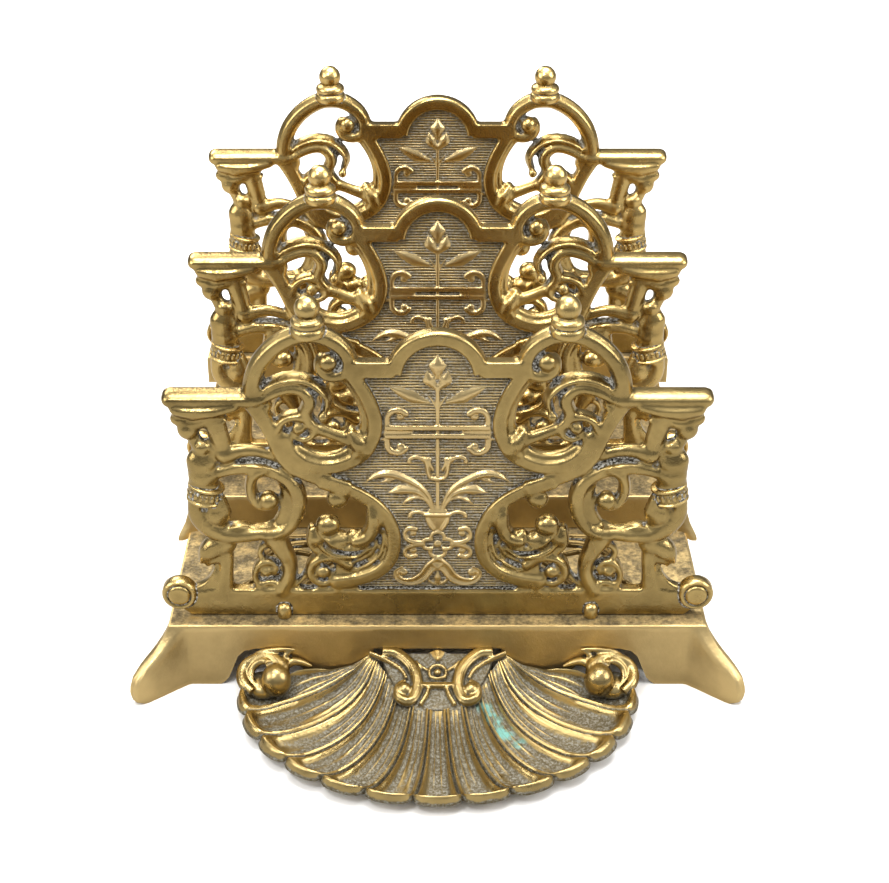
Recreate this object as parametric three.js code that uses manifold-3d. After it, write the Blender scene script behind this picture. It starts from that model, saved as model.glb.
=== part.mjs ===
// Cast brass letter rack: three pierced scrollwork panels stand on a stepped base with flared
// bracket feet, and a scallop-shell pen dish reaches out from under the front apron.
// Millimetres, +Z up, +X to the right seen from the front, front facing -Y.

import * as THREE from 'three';
import { mergeVertices } from 'three/addons/utils/BufferGeometryUtils.js';
import Module from 'manifold-3d';

const wasm = await Module();
wasm.setup();

// Driving sizes of the base

const baseWidth = 186;
const baseHeight = 25;
const plateThickness = 3.4;
const wall = 3.2;
const edgeChamfer = 0.9;
const frontMargin = 8.5;
const frontFloor = 52.9;
const middleLedge = 22.6;
const middleFloor = 66;
const rearLedge = 5.5;
const rearMargin = 11.5;
const archHeight = 15.5;
const footWidth = 17;
const footSweep = 13;
const apronDrop = 10.5;
const apronDropSpan = 104;
const toeReach = 13;
const toeWidth = 6.5;

// Driving sizes of the two upper steps

const middleRise = 14;
const middleInset = 0.7;
const middleToeReach = 4.8;
const middleToeDrop = 3;
const rearRise = 12;
const rearOverhang = 2.7;
const cheekDrop = 3;
const stepWall = 2.4;

// Driving sizes of a panel

const panelWidth = 177;
const panelHeight = 122;
const frameDepth = 4.6;
const railHeight = 10.3;
const shelfHeight = 4.7;
const shelfDepth = 7;
const shelfDrop = 33;
const topRailHeight = 5.4;
const topRailDrop = 21;
const archRadius = 16.6;
const archRise = 9.5;
const plaqueThickness = 2;
const foliageStrand = 5.2;
const broadStrand = 4.2;
const slimStrand = 3;
const keyholeRadius = 3.7;
const finialRadius = 5.7;
const finialHeight = 13.5;
const torsoRadius = 5.9;
const rollerRadius = 5.6;
const rollerLength = 8.4;
const lugRadius = 2.4;
const lugHeight = 6.4;

// Driving sizes of the shell dish

const lobeCount = 13;
const dishHalfWidth = 65.4;
const dishReach = 54;
const dishSetback = 10;
const lobeBulge = 3.3;
const dishWall = 2.2;
const dishFloor = 1;
const rimHeight = 8.4;
const rimRoll = 2.6;
const fluteDepth = 1.5;
const hubHalfWidth = 24;
const hubReach = 23;
const hubHeight = 7.2;
const lyreDrop = 0.8;
const wingTop = 12.4;
const shellVoluteRadius = 8.2;
const shellVoluteSpacing = 58.2;
const lyreStrand = 4;
const tongueWidth = 44;
const tongueThickness = 3;

// Fasteners and fits

const screwRadius = 1.4;
const screwGrip = 6;
const headRadius = 2.3;
const headHeight = 1.6;
const panelScrewSpacing = 106;
const dishScrewSpacing = 28;
const stepScrewSpacing = 150;
const bossRadius = 3.6;
const clearance = 0.3;
const overrun = 2;

// Places worked out from the driving sizes

const halfBase = baseWidth / 2;
const frontPanelY = frontMargin;
const middleStepY = frontPanelY + frontFloor;
const middlePanelY = middleStepY + middleLedge;
const rearStepY = middlePanelY + middleFloor;
const rearPanelY = rearStepY + rearLedge;
const baseDepth = rearPanelY + rearMargin;
const middleTop = baseHeight + middleRise;
const rearTop = middleTop + rearRise;
const halfMiddle = halfBase - middleInset;
const halfRear = halfMiddle + rearOverhang;
const halfPanel = panelWidth / 2;
const backFace = frameDepth / 2;
const tongueTop = archHeight - clearance;
const lyreTop = tongueTop - lyreDrop;
const dishScrewY = wall + bossRadius + clearance;
const middleScrewY = (middleStepY + baseDepth) / 2;
const rearScrewY = (rearStepY + baseDepth) / 2;
const shelfTop = panelHeight - shelfDrop;
const topRailTop = panelHeight - topRailDrop;
const archCrown = topRailTop + archRise;
const archCentre = archCrown - archRadius;
const seat = plateThickness + clearance;
const screwHole = screwRadius + clearance;

const brassFront = { color: 0x9a7a3c, roughness: 0.36, metalness: 1 };
const brassRear = { color: 0xa9853f, roughness: 0.36, metalness: 1 };
const brassDark = { color: 0x7d6330, roughness: 0.42, metalness: 1 };
const brassScrew = { color: 0x8a6d36, roughness: 0.4, metalness: 1 };

// Solids

// Turns a skin inside out where its faces point inwards.
function outward(geometry) {
  const position = geometry.attributes.position;
  const index = geometry.index.array;
  const a = new THREE.Vector3();
  const b = new THREE.Vector3();
  const c = new THREE.Vector3();
  let volume = 0;
  for (let i = 0; i < index.length; i += 3) {
    a.fromBufferAttribute(position, index[i]);
    b.fromBufferAttribute(position, index[i + 1]);
    c.fromBufferAttribute(position, index[i + 2]);
    volume += a.dot(b.cross(c));
  }
  if (volume < 0) {
    for (let i = 0; i < index.length; i += 3) {
      [index[i + 1], index[i + 2]] = [index[i + 2], index[i + 1]];
    }
  }
  return geometry;
}

// A welded solid from any closed three.js geometry.
function solid(geometry) {
  const bare = new THREE.BufferGeometry();
  bare.setAttribute('position', geometry.attributes.position);
  if (geometry.index) bare.setIndex(geometry.index);
  const welded = outward(mergeVertices(bare));
  return new wasm.Manifold(
    new wasm.Mesh({
      numProp: 3,
      vertProperties: Float32Array.from(welded.attributes.position.array),
      triVerts: Uint32Array.from(welded.index.array),
    }),
  );
}

// The geometry of a solid.
function skin(body) {
  const mesh = body.getMesh();
  const geometry = new THREE.BufferGeometry();
  geometry.setAttribute('position', new THREE.BufferAttribute(mesh.vertProperties, 3));
  geometry.setIndex(new THREE.BufferAttribute(mesh.triVerts, 1));
  return geometry;
}

// Joins geometries into one solid.
function join(geometries) {
  return geometries.map(solid).reduce((body, next) => body.add(next));
}

// Cuts geometries out of a solid.
function cut(body, geometries) {
  return geometries.reduce((rest, cutter) => rest.subtract(solid(cutter)), body);
}

// The same shape on the other side of the middle plane.
function mirrored(geometry) {
  return geometry.clone().scale(-1, 1, 1);
}

// The two copies of a shape that is spaced evenly about the middle plane.
function eachSide(spacing, make) {
  return [make(-spacing / 2), make(spacing / 2)];
}

// A closed skin through rings of equal point counts, capped with fans at both ends.
function loft(rings) {
  const count = rings[0].length;
  const points = rings.flat();
  const faces = [];
  for (let r = 0; r + 1 < rings.length; r += 1) {
    for (let i = 0; i < count; i += 1) {
      const a = r * count + i;
      const b = r * count + ((i + 1) % count);
      faces.push(a, b, b + count, a, b + count, a + count);
    }
  }
  const last = (rings.length - 1) * count;
  for (let i = 1; i + 1 < count; i += 1) {
    faces.push(0, i + 1, i);
    faces.push(last, last + i, last + i + 1);
  }
  const geometry = new THREE.BufferGeometry().setFromPoints(points);
  geometry.setIndex(faces);
  return geometry;
}

// A box given by its low and high corners.
function block(low, high) {
  const size = high.map((value, axis) => value - low[axis]);
  const geometry = new THREE.BoxGeometry(...size);
  return geometry.translate(low[0] + size[0] / 2, low[1] + size[1] / 2, low[2] + size[2] / 2);
}

// An upright post or hole.
function post(x, y, low, high, radius) {
  const geometry = new THREE.CylinderGeometry(radius, radius, high - low, 6);
  return geometry.rotateX(Math.PI / 2).translate(x, y, (low + high) / 2);
}

// A flat shape drawn in X and Z, with its back at one depth and its front at another.
function slab(shape, front, back, curveSegments = 6) {
  const geometry = new THREE.ExtrudeGeometry(shape, {
    depth: back - front,
    bevelEnabled: false,
    curveSegments,
  });
  return geometry.rotateX(Math.PI / 2).translate(0, back, 0);
}

// A turned form: radius and height pairs, both scaled by named sizes, revolved about Z.
function turned(profileShares, radius, height, sides = 8) {
  const profile = profileShares.map(([r, h]) => new THREE.Vector2(r * radius, h * height));
  return new THREE.LatheGeometry(profile, sides).rotateX(Math.PI / 2);
}

// A value read off a row of evenly spaced shares.
function shareAt(shares, t) {
  const place = t * (shares.length - 1);
  const low = Math.min(Math.floor(place), shares.length - 2);
  return THREE.MathUtils.lerp(shares[low], shares[low + 1], place - low);
}

// Scrollwork

// Section of a strand: across as a share of half its width, forward as a share of its depth.
const strapSectionShares = [[-1, 0], [1, 0], [0.7, 1], [-0.7, 1]];
const ridgeSectionShares = [[-1, 0], [1, 0], [0, 1.08]];

// Levels of the panel that are set by themselves: the foot, the bottom rail, the shelf, the
// top rail, the foot of the finial and its tip, as they are and as shares of the height
const levels = [
  0, railHeight, shelfTop, topRailTop, panelHeight - finialHeight, panelHeight,
];
const levelShares = [0, 0.0844, 0.7295, 0.8279, 0.8893, 1];

// Height on the panel of a share, which keeps its place between the levels round it.
function levelAt(share) {
  const next = Math.max(1, levelShares.findIndex((value) => value >= share));
  return THREE.MathUtils.mapLinear(
    share, levelShares[next - 1], levelShares[next], levels[next - 1], levels[next],
  );
}

// A point of the panel from shares of its half width and height.
function onPanel([across, up]) {
  return new THREE.Vector3(across * halfPanel, 0, levelAt(up));
}

// A cast strand whose back is flush with the back of the panel.
function strand(pathShares, options) {
  const { width, depth = frameDepth, steps, swellShares = [1, 1], strap = false } = options;
  const curve = new THREE.CatmullRomCurve3(pathShares.map((share) => onPanel(share)));
  const sectionShares = strap ? strapSectionShares : ridgeSectionShares;
  const rings = [];
  for (let step = 0; step <= steps; step += 1) {
    const t = step / steps;
    const centre = curve.getPointAt(t);
    const along = curve.getTangentAt(t);
    const swell = shareAt(swellShares, t);
    const half = (width / 2) * swell;
    const rise = depth * Math.min(1, Math.sqrt(swell));
    rings.push(sectionShares.map(([side, forward]) => new THREE.Vector3(
      centre.x + along.z * half * side,
      backFace - rise * forward,
      centre.z - along.x * half * side,
    )));
  }
  return loft(rings);
}

// A ball or an egg on the panel, its size from the scrolls that it fits between: shares of the
// half width, of the frame's depth and of the height.
function boss([across, up], [wide, deep, high]) {
  const centre = onPanel([across, up]);
  const corner = onPanel([across + wide, up + high]);
  const geometry = new THREE.SphereGeometry(1, 6, 4);
  geometry.rotateX(Math.PI / 2).scale(
    corner.x - centre.x, deep * frameDepth, corner.z - centre.z,
  );
  return geometry.translate(centre.x, centre.y, centre.z);
}

const strands = [
  // Hoop under the finial, curling into its volute
  {
    pathShares: [
      [0.678, 0.697], [0.67, 0.746], [0.638, 0.803], [0.576, 0.852], [0.497, 0.882],
      [0.418, 0.88], [0.356, 0.854], [0.323, 0.811], [0.334, 0.779], [0.379, 0.764],
      [0.424, 0.775],
    ],
    width: broadStrand,
    swellShares: [1, 1, 1, 1, 1, 1, 0.85, 0.65],
    steps: 8,
    strap: true,
  },
  // Upper C round the lion-foot clasp
  {
    pathShares: [
      [0.316, 0.779], [0.273, 0.725], [0.241, 0.672], [0.229, 0.623], [0.241, 0.574],
      [0.277, 0.531], [0.339, 0.502], [0.412, 0.492], [0.486, 0.505], [0.542, 0.537],
      [0.571, 0.582],
    ],
    width: broadStrand,
    steps: 5,
    strap: true,
  },
  // Long sweep from the shelf to the keyhole boss
  {
    pathShares: [
      [0.684, 0.693], [0.644, 0.643], [0.612, 0.59], [0.593, 0.541], [0.554, 0.497],
      [0.497, 0.467], [0.435, 0.447], [0.384, 0.434],
    ],
    width: broadStrand,
    swellShares: [1, 0.9, 0.9, 0.9, 1],
    steps: 4,
    strap: true,
  },
  // Lower C round the acanthus
  {
    pathShares: [
      [0.39, 0.43], [0.322, 0.413], [0.252, 0.384], [0.206, 0.336], [0.179, 0.283],
      [0.174, 0.23], [0.197, 0.183], [0.244, 0.144], [0.311, 0.12], [0.37, 0.07],
    ],
    width: broadStrand,
    steps: 6,
    strap: true,
  },
  // Upright behind the figure's feet
  {
    pathShares: [[0.809, 0.262], [0.813, 0.17], [0.84, 0.066]],
    width: broadStrand,
    swellShares: [0.9, 0.9, 1.4],
    steps: 2,
    strap: true,
  },
  // Curved bracket down to the roller
  {
    pathShares: [[0.838, 0.17], [0.862, 0.115], [0.905, 0.079], [0.97, 0.06]],
    width: broadStrand,
    steps: 3,
    strap: true,
  },
  // S scroll under the hoop
  {
    pathShares: [
      [0.655, 0.701], [0.6, 0.742], [0.532, 0.755], [0.463, 0.742], [0.426, 0.7],
      [0.452, 0.65],
    ],
    width: foliageStrand,
    swellShares: [0.8, 1.1, 1.2, 1.1, 0.8],
    steps: 4,
  },
  // Middle volute
  {
    pathShares: [
      [0.597, 0.607], [0.574, 0.642], [0.52, 0.657], [0.469, 0.646], [0.445, 0.615],
      [0.461, 0.587], [0.515, 0.605],
    ],
    width: slimStrand,
    swellShares: [1.1, 1, 1, 2.2],
    steps: 4,
  },
  // Arm from the middle volute to its leaf clasp
  {
    pathShares: [[0.452, 0.61], [0.36, 0.589], [0.27, 0.567]],
    width: foliageStrand,
    swellShares: [0.6, 0.8, 1.7],
    steps: 2,
  },
  // Lower volute on the rail
  {
    pathShares: [
      [0.33, 0.15], [0.39, 0.197], [0.441, 0.2], [0.484, 0.179], [0.497, 0.143],
      [0.477, 0.113], [0.43, 0.08],
    ],
    width: slimStrand,
    swellShares: [1.5, 1.2, 1, 1.3],
    steps: 5,
  },
  // Acanthus spray inside the lower C
  {
    pathShares: [
      [0.469, 0.3], [0.435, 0.254], [0.379, 0.228], [0.316, 0.233], [0.262, 0.262],
      [0.205, 0.325],
    ],
    width: foliageStrand,
    swellShares: [0.9, 1.2, 1.3, 0.9, 0.6],
    steps: 4,
  },
  // Side scroll from the figure's waist
  {
    pathShares: [
      [0.83, 0.463], [0.757, 0.48], [0.689, 0.479], [0.621, 0.472], [0.563, 0.451],
      [0.527, 0.41], [0.52, 0.361], [0.538, 0.315], [0.576, 0.275], [0.66, 0.262],
    ],
    width: foliageStrand,
    swellShares: [0.8, 1, 1.1, 1.1, 1.1, 1.1, 1],
    steps: 6,
  },
  // Curl inside the side scroll
  {
    pathShares: [
      [0.645, 0.479], [0.692, 0.455], [0.703, 0.414], [0.685, 0.38], [0.644, 0.366],
      [0.608, 0.377],
    ],
    width: broadStrand,
    swellShares: [0.9, 0.8, 0.8, 0.8],
    steps: 4,
  },
  // Figure's outer leg
  {
    pathShares: [
      [0.92, 0.385], [0.904, 0.328], [0.864, 0.29], [0.808, 0.267], [0.74, 0.267],
      [0.63, 0.268],
    ],
    width: foliageStrand,
    swellShares: [0.9, 1.2, 1.2, 1, 1.1],
    steps: 4,
  },
  // Upper arm
  {
    pathShares: [[0.838, 0.668], [0.82, 0.598], [0.794, 0.522]],
    width: foliageStrand,
    swellShares: [0.9, 1.1, 1],
    steps: 2,
  },
  // Forearm reaching to the long sweep
  {
    pathShares: [[0.805, 0.512], [0.735, 0.541], [0.66, 0.537], [0.59, 0.503]],
    width: broadStrand,
    swellShares: [1, 0.85, 0.85, 0.9],
    steps: 3,
  },
  // Rolled hair and the cushion that carries the shelf
  {
    pathShares: [[0.958, 0.66], [0.88, 0.652], [0.81, 0.662], [0.73, 0.69]],
    width: foliageStrand,
    swellShares: [1.3, 1.6, 1.4, 0.8],
    steps: 3,
  },
  // Hooked bird's head
  {
    pathShares: [[0.82, 0.222], [0.87, 0.21], [0.925, 0.178]],
    width: foliageStrand,
    swellShares: [0.8, 1, 0.6],
    steps: 2,
  },
  // Hoofed leg down to the rail
  {
    pathShares: [
      [0.6, 0.247], [0.572, 0.211], [0.558, 0.176], [0.56, 0.143], [0.583, 0.115],
      [0.61, 0.075],
    ],
    width: foliageStrand,
    swellShares: [1.1, 0.9, 0.85, 0.8],
    steps: 4,
  },
];

// Balls and eggs, each with its place and its size
const bosses = [
  // Eye of the hoop's volute
  { atShares: [0.4, 0.798], sizeShares: [0.042, 0.8, 0.03] },
  // Eye of the lower volute
  { atShares: [0.443, 0.142], sizeShares: [0.038, 0.72, 0.036] },
  // Ball between the scrolls
  { atShares: [0.465, 0.322], sizeShares: [0.05, 0.96, 0.036] },
  // Eye of the side scroll
  { atShares: [0.632, 0.398], sizeShares: [0.052, 1, 0.038] },
  // Head below the cushion
  { atShares: [0.917, 0.608], sizeShares: [0.046, 0.84, 0.046] },
];

// Torso and beaded belt, from the hip to the shoulder
const torsoShares = [
  [0, 0], [0.98, 0.04], [0.88, 0.45], [0.7, 0.9], [0, 1],
];
const torsoFootShares = [0.876, 0.375];
const torsoTopShares = [0.876, 0.535];
const torsoFlatteningShare = 0.8;

// Collar, ring and dome of a finial
const finialShares = [
  [0, 0], [1, 0.04], [1, 0.26], [0.68, 0.38], [0.88, 0.5], [0.62, 0.78], [0, 1],
];
const finialAcrossShare = 0.463;

// Roller with a stepped front disc, its height here along Y
const rollerShares = [[0, 0], [0.8, 0], [1, 0.16], [1, 1], [0, 1]];
const rollerPlaceShares = [0.998, 0.093];

// Domed lug, from its foot to its top
const lugShares = [[0, 0], [1, 0], [1, 0.65], [0, 1]];

const shelfStartShare = 0.66;
const topRailEndShare = 0.34;
const keyholePlaceShares = [0.395, 0.41];
const keyholeStepShares = [[0.356, 0.42], [0.429, 0.454]];
const railEndShares = [[0.966, 0], [1.012, 0.4], [1.012, 0.75], [0.95, 1]];

// Right half outline of the ridged plaque, hidden under the strands that frame it
const plaqueShares = [
  [0.35, 0.075], [0.3, 0.124], [0.205, 0.176], [0.174, 0.245], [0.19, 0.312], [0.246, 0.381],
  [0.45, 0.45], [0.42, 0.493], [0.335, 0.503], [0.25, 0.562], [0.23, 0.64], [0.305, 0.768],
];

// Where the plaque's edge runs on behind the arch, in radians from its crown
const archAngles = [0.8, 0.3];

// A closed outline through both halves of a symmetric row of points.
function symmetricShape(points) {
  const shape = new THREE.Shape();
  shape.moveTo(points[0].x, points[0].y);
  points.slice(1).forEach((point) => shape.lineTo(point.x, point.y));
  [...points].reverse().forEach((point) => shape.lineTo(-point.x, point.y));
  shape.closePath();
  return shape;
}

// Top rail with the arch over the middle, as one bent band.
function topRail() {
  const railLow = topRailTop - topRailHeight;
  const railEnd = halfPanel * topRailEndShare;
  const inner = archRadius - topRailHeight;
  const outerFoot = Math.acos((topRailTop - archCentre) / archRadius);
  const innerFoot = Math.acos((railLow - archCentre) / inner);
  const shape = new THREE.Shape();
  shape.moveTo(railEnd, railLow);
  shape.lineTo(railEnd, topRailTop);
  shape.absarc(0, archCentre, archRadius, Math.PI / 2 - outerFoot, Math.PI / 2 + outerFoot, false);
  shape.lineTo(-railEnd, topRailTop);
  shape.lineTo(-railEnd, railLow);
  shape.absarc(0, archCentre, inner, Math.PI / 2 + innerFoot, Math.PI / 2 - innerFoot, true);
  shape.closePath();
  return slab(shape, -backFace, backFace, 7);
}

// Plate behind the ridged ground, filled up to the arch.
function plaque() {
  const outline = plaqueShares.map(onPanel).map(({ x, z }) => new THREE.Vector2(x, z));
  const middle = archRadius - topRailHeight / 2;
  outline.push(new THREE.Vector2(middle, topRailTop - topRailHeight / 2));
  archAngles.forEach((angle) => outline.push(new THREE.Vector2(
    middle * Math.sin(angle),
    archCentre + middle * Math.cos(angle),
  )));
  return slab(symmetricShape(outline), backFace - plaqueThickness, backFace);
}

// Bottom rail with chamfered ends.
function bottomRail() {
  const ends = railEndShares.map(
    ([x, h]) => new THREE.Vector2(x * halfPanel, h * railHeight),
  );
  return slab(symmetricShape(ends), -backFace, backFace);
}

// Shelf bar with a rounded tip, under which the figure stands.
function shelf() {
  const tip = shelfHeight / 2;
  const shape = new THREE.Shape();
  const start = halfPanel * shelfStartShare;
  shape.moveTo(start, shelfTop - shelfHeight);
  shape.lineTo(halfPanel - tip, shelfTop - shelfHeight);
  shape.absarc(halfPanel - tip, shelfTop - tip, tip, -Math.PI / 2, Math.PI / 2, false);
  shape.lineTo(start, shelfTop);
  shape.closePath();
  return slab(shape, -shelfDepth / 2, shelfDepth / 2, 3);
}

// Turned finial whose collar sits in the crown of the hoop.
function finial() {
  const geometry = turned(finialShares, finialRadius, finialHeight);
  return geometry.translate(finialAcrossShare * halfPanel, 0, panelHeight - finialHeight);
}

// Torso with its belt, slightly flattened front to back.
function torso() {
  const foot = onPanel(torsoFootShares);
  const height = onPanel(torsoTopShares).z - foot.z;
  const geometry = turned(torsoShares, torsoRadius, height, 6);
  geometry.scale(1, torsoFlatteningShare, 1);
  return geometry.translate(foot.x, 0, foot.z);
}

// Roller at the end of the rail, its axis along Y.
function roller() {
  const geometry = turned(rollerShares, rollerRadius, rollerLength);
  const centre = onPanel(rollerPlaceShares);
  return geometry.rotateX(-Math.PI / 2).translate(centre.x, -rollerLength / 2, centre.z);
}

// Keyhole boss with the square step above it.
function keyhole() {
  const centre = onPanel(keyholePlaceShares);
  const disc = new THREE.CylinderGeometry(keyholeRadius, keyholeRadius, frameDepth, 7);
  const [low, high] = keyholeStepShares.map((share) => onPanel(share));
  return [
    disc.translate(centre.x, 0, centre.z),
    block([low.x, -backFace, low.z], [high.x, backFace, high.z]),
  ];
}

// Half-round lug in front of the rail, over the hole for its screw.
function lug() {
  const geometry = turned(lugShares, lugRadius, lugHeight);
  return geometry.translate(panelScrewSpacing / 2, -backFace, 0);
}

// One pierced panel, standing on z = 0 with its mid-plane at y = 0.
function panel() {
  const side = join([
    ...strands.map(({ pathShares, ...options }) => strand(pathShares, options)),
    ...bosses.map(({ atShares, sizeShares }) => boss(atShares, sizeShares)),
    shelf(),
    finial(),
    torso(),
    roller(),
    ...keyhole(),
    lug(),
  ]);
  const right = skin(side);
  const body = join([right, mirrored(right), plaque(), topRail(), bottomRail()]);
  const depth = screwGrip + 2 * clearance;
  return cut(body, eachSide(
    panelScrewSpacing,
    (x) => post(x, 0, -overrun, depth, screwHole),
  ));
}

// Base

// Ogee of an apron's opening: how far in it has swept at each height, from the foot up
const footSweepShares = [[0, 0], [0.2, 0.08], [0.42, 0.42], [0.58, 0.82], [1, 1]];

// Opening between two bracket feet, as an outline around the middle.
function archOutline(halfSpan) {
  const points = footSweepShares.map(([x, h]) => new THREE.Vector2(
    halfSpan - footWidth - x * footSweep,
    h * archHeight,
  ));
  points.unshift(new THREE.Vector2(halfSpan - footWidth, -overrun));
  return symmetricShape(points);
}

// How far a toe reaches out of its corner at each height, from the top of the flare down
const toeShares = [[0.8, 0], [0.62, 0.22], [0.42, 0.58], [0.2, 0.95], [0.1, 1], [0, 0.75]];
const lapShares = [[0.9, 0], [0.5, 0.35], [0.2, 0.9], [0, 1]];
const toeBlendShare = 0.2;

// Flared toe on the corner at x, y, pointing to the side and the front or back.
function toe(x, y, towards, low, high, reach, width, shares = toeShares) {
  const blend = width * toeBlendShare;
  const rings = shares.map(([up, out]) => {
    const tip = out * reach;
    const z = low + up * (high - low);
    const ring = [
      [-width, blend], [tip - width, -tip], [tip - blend, -tip],
      [tip, blend - tip], [tip, width - tip], [-blend, width],
    ];
    return ring.map(([px, py]) => new THREE.Vector3(px, py, z));
  });
  return loft(rings).scale(Math.sign(x), -towards, 1).translate(x, y, 0);
}

// Outline of the flap of the front apron behind the shell: across from the tongue outwards, up
// from the flap's lower edge to the arch
const flapShares = [
  [0, 1.2], [0, 0.2], [0.1, 0], [0.76, 0], [0.9, 0.2], [0.97, 0.55], [1, 1.2],
];

// One flap of the front apron, which backs the shell beside the tongue.
function apronFlap() {
  const inner = tongueWidth / 2 + 2 * clearance;
  const outline = new THREE.Shape(flapShares.map(([across, up]) => new THREE.Vector2(
    THREE.MathUtils.lerp(inner, apronDropSpan / 2, across),
    archHeight + (up - 1) * apronDrop,
  )));
  return slab(outline, 0, wall);
}

// Chamfered block that every step starts from.
function steppedBlock(half, front, back, low, high) {
  const ring = (inset, z) => [
    new THREE.Vector3(inset - half, front + inset, z),
    new THREE.Vector3(half - inset, front + inset, z),
    new THREE.Vector3(half - inset, back - inset, z),
    new THREE.Vector3(inset - half, back - inset, z),
  ];
  return loft([ring(0, low), ring(0, high - edgeChamfer), ring(edgeChamfer, high)]);
}

// Hollow under a step's top plate.
function hollow(half, front, back, low, high, thickness) {
  return block(
    [thickness - half, front + thickness, low - overrun],
    [half - thickness, back - thickness, high - plateThickness],
  );
}

// Lower tier with aprons, bracket feet and flared toes, open underneath.
function base() {
  const toes = [-halfBase, halfBase].flatMap((x) => [
    toe(x, 0, -1, 0, baseHeight, toeReach, toeWidth),
    toe(x, baseDepth, 1, 0, baseHeight, toeReach, toeWidth),
  ]);
  const sideArch = slab(archOutline(baseDepth / 2), -halfBase - overrun, halfBase + overrun);
  const underPlate = baseHeight - plateThickness;
  const pillars = eachSide(dishScrewSpacing, (x) => post(
    x, dishScrewY, archHeight, underPlate + overrun / 2, bossRadius,
  ));
  const shell = cut(solid(steppedBlock(halfBase, 0, baseDepth, 0, baseHeight)), [
    hollow(halfBase, 0, baseDepth, 0, baseHeight, wall),
    slab(archOutline(halfBase), -overrun, baseDepth + overrun),
    sideArch.rotateZ(Math.PI / 2).translate(0, baseDepth / 2, 0),
  ]);
  const flaps = [apronFlap(), mirrored(apronFlap())];
  return cut(shell.add(join([...toes, ...pillars, ...flaps])), [
    ...eachSide(panelScrewSpacing, (x) => post(
      x, frontPanelY, underPlate - overrun, baseHeight + overrun, screwHole,
    )),
    ...eachSide(stepScrewSpacing, (x) => post(
      x, middleScrewY, underPlate - overrun, baseHeight + overrun, screwHole,
    )),
    ...eachSide(dishScrewSpacing, (x) => post(
      x, dishScrewY, archHeight - overrun, archHeight + screwGrip / 2, screwHole,
    )),
  ]);
}

// Second tier: a low casting on the rear part of the base, its toes lapping the base's sides.
function middleStep() {
  const low = baseHeight + clearance;
  const lap = baseHeight - middleToeDrop;
  const back = baseDepth - middleInset;
  const toes = [-halfMiddle, halfMiddle].flatMap((x) => [
    toe(x, middleStepY, -1, lap, middleTop, middleToeReach, wall, lapShares),
    toe(x, back, 1, lap, middleTop, middleToeReach, wall, lapShares),
  ]);
  const baseRoom = block(
    [-halfBase - clearance, -overrun, 0],
    [halfBase + clearance, baseDepth + clearance, low],
  );
  const underPlate = middleTop - plateThickness;
  const pillars = eachSide(stepScrewSpacing, (x) => post(
    x, middleScrewY, low, underPlate + overrun / 2, bossRadius,
  ));
  const shell = cut(
    solid(steppedBlock(halfMiddle, middleStepY, back, low, middleTop)),
    [hollow(halfMiddle, middleStepY, back, low, middleTop, stepWall)],
  );
  return cut(shell.add(cut(join(toes), [baseRoom])).add(join(pillars)), [
    ...eachSide(panelScrewSpacing, (x) => post(
      x, middlePanelY, underPlate - overrun, middleTop + overrun, screwHole,
    )),
    ...eachSide(stepScrewSpacing, (x) => post(
      x, middleScrewY, low - overrun, low + screwGrip + clearance, screwHole,
    )),
    ...eachSide(stepScrewSpacing, (x) => post(
      x, rearScrewY, underPlate - overrun, middleTop + overrun, screwHole,
    )),
  ]);
}

// Third tier: a narrow casting under the rear panel, its cheeks lapping the step below.
function rearStep() {
  const low = middleTop + clearance;
  const lap = middleTop - cheekDrop;
  const back = baseDepth - middleInset;
  const underPlate = rearTop - plateThickness;
  const pillars = eachSide(stepScrewSpacing, (x) => post(
    x, rearScrewY, low, underPlate + overrun / 2, bossRadius,
  ));
  const shell = cut(solid(steppedBlock(halfRear, rearStepY, back, lap, rearTop)), [
    block(
      [-halfMiddle - clearance, rearStepY - overrun, lap - overrun],
      [halfMiddle + clearance, back + overrun, low],
    ),
    hollow(halfMiddle, rearStepY, back, low, rearTop, stepWall),
  ]);
  return cut(shell.add(join(pillars)), [
    ...eachSide(panelScrewSpacing, (x) => post(
      x, rearPanelY, underPlate - overrun, rearTop + overrun, screwHole,
    )),
    ...eachSide(stepScrewSpacing, (x) => post(
      x, rearScrewY, low - overrun, low + screwGrip + clearance, screwHole,
    )),
  ]);
}

// Shell dish

const samplesPerLobe = 3;

// Rows of the dish from the hub to the rolled rim: place along the flute, height of the top
// face between the hub, the floor and the rim, and how strongly the flutes show
const dishRowShares = [
  { along: 0, hub: 1, rim: 0, flute: 0.5 },
  { along: 0.3, hub: 0.36, rim: 0, flute: 1 },
  { along: 0.58, hub: 0.04, rim: 0.02, flute: 1 },
  { along: 0.8, hub: 0, rim: 0.26, flute: 1 },
  { along: 0.93, hub: 0, rim: 1, flute: 0.35 },
];

// How far a flute's bend lies from the hub towards the rim, across and forward, and the same
// for the outermost flutes, which run along the apron first
const fluteBendShares = [0.2, 0.72];
const endBendShares = [0.6, 0.05];

// Where the flutes' crests stand above the dish's own height
const fluteCrestShare = 0.6;

// Where the underside turns up to the rim and where it is flat, along the flute
const underShares = [0.86, 0.6];

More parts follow.
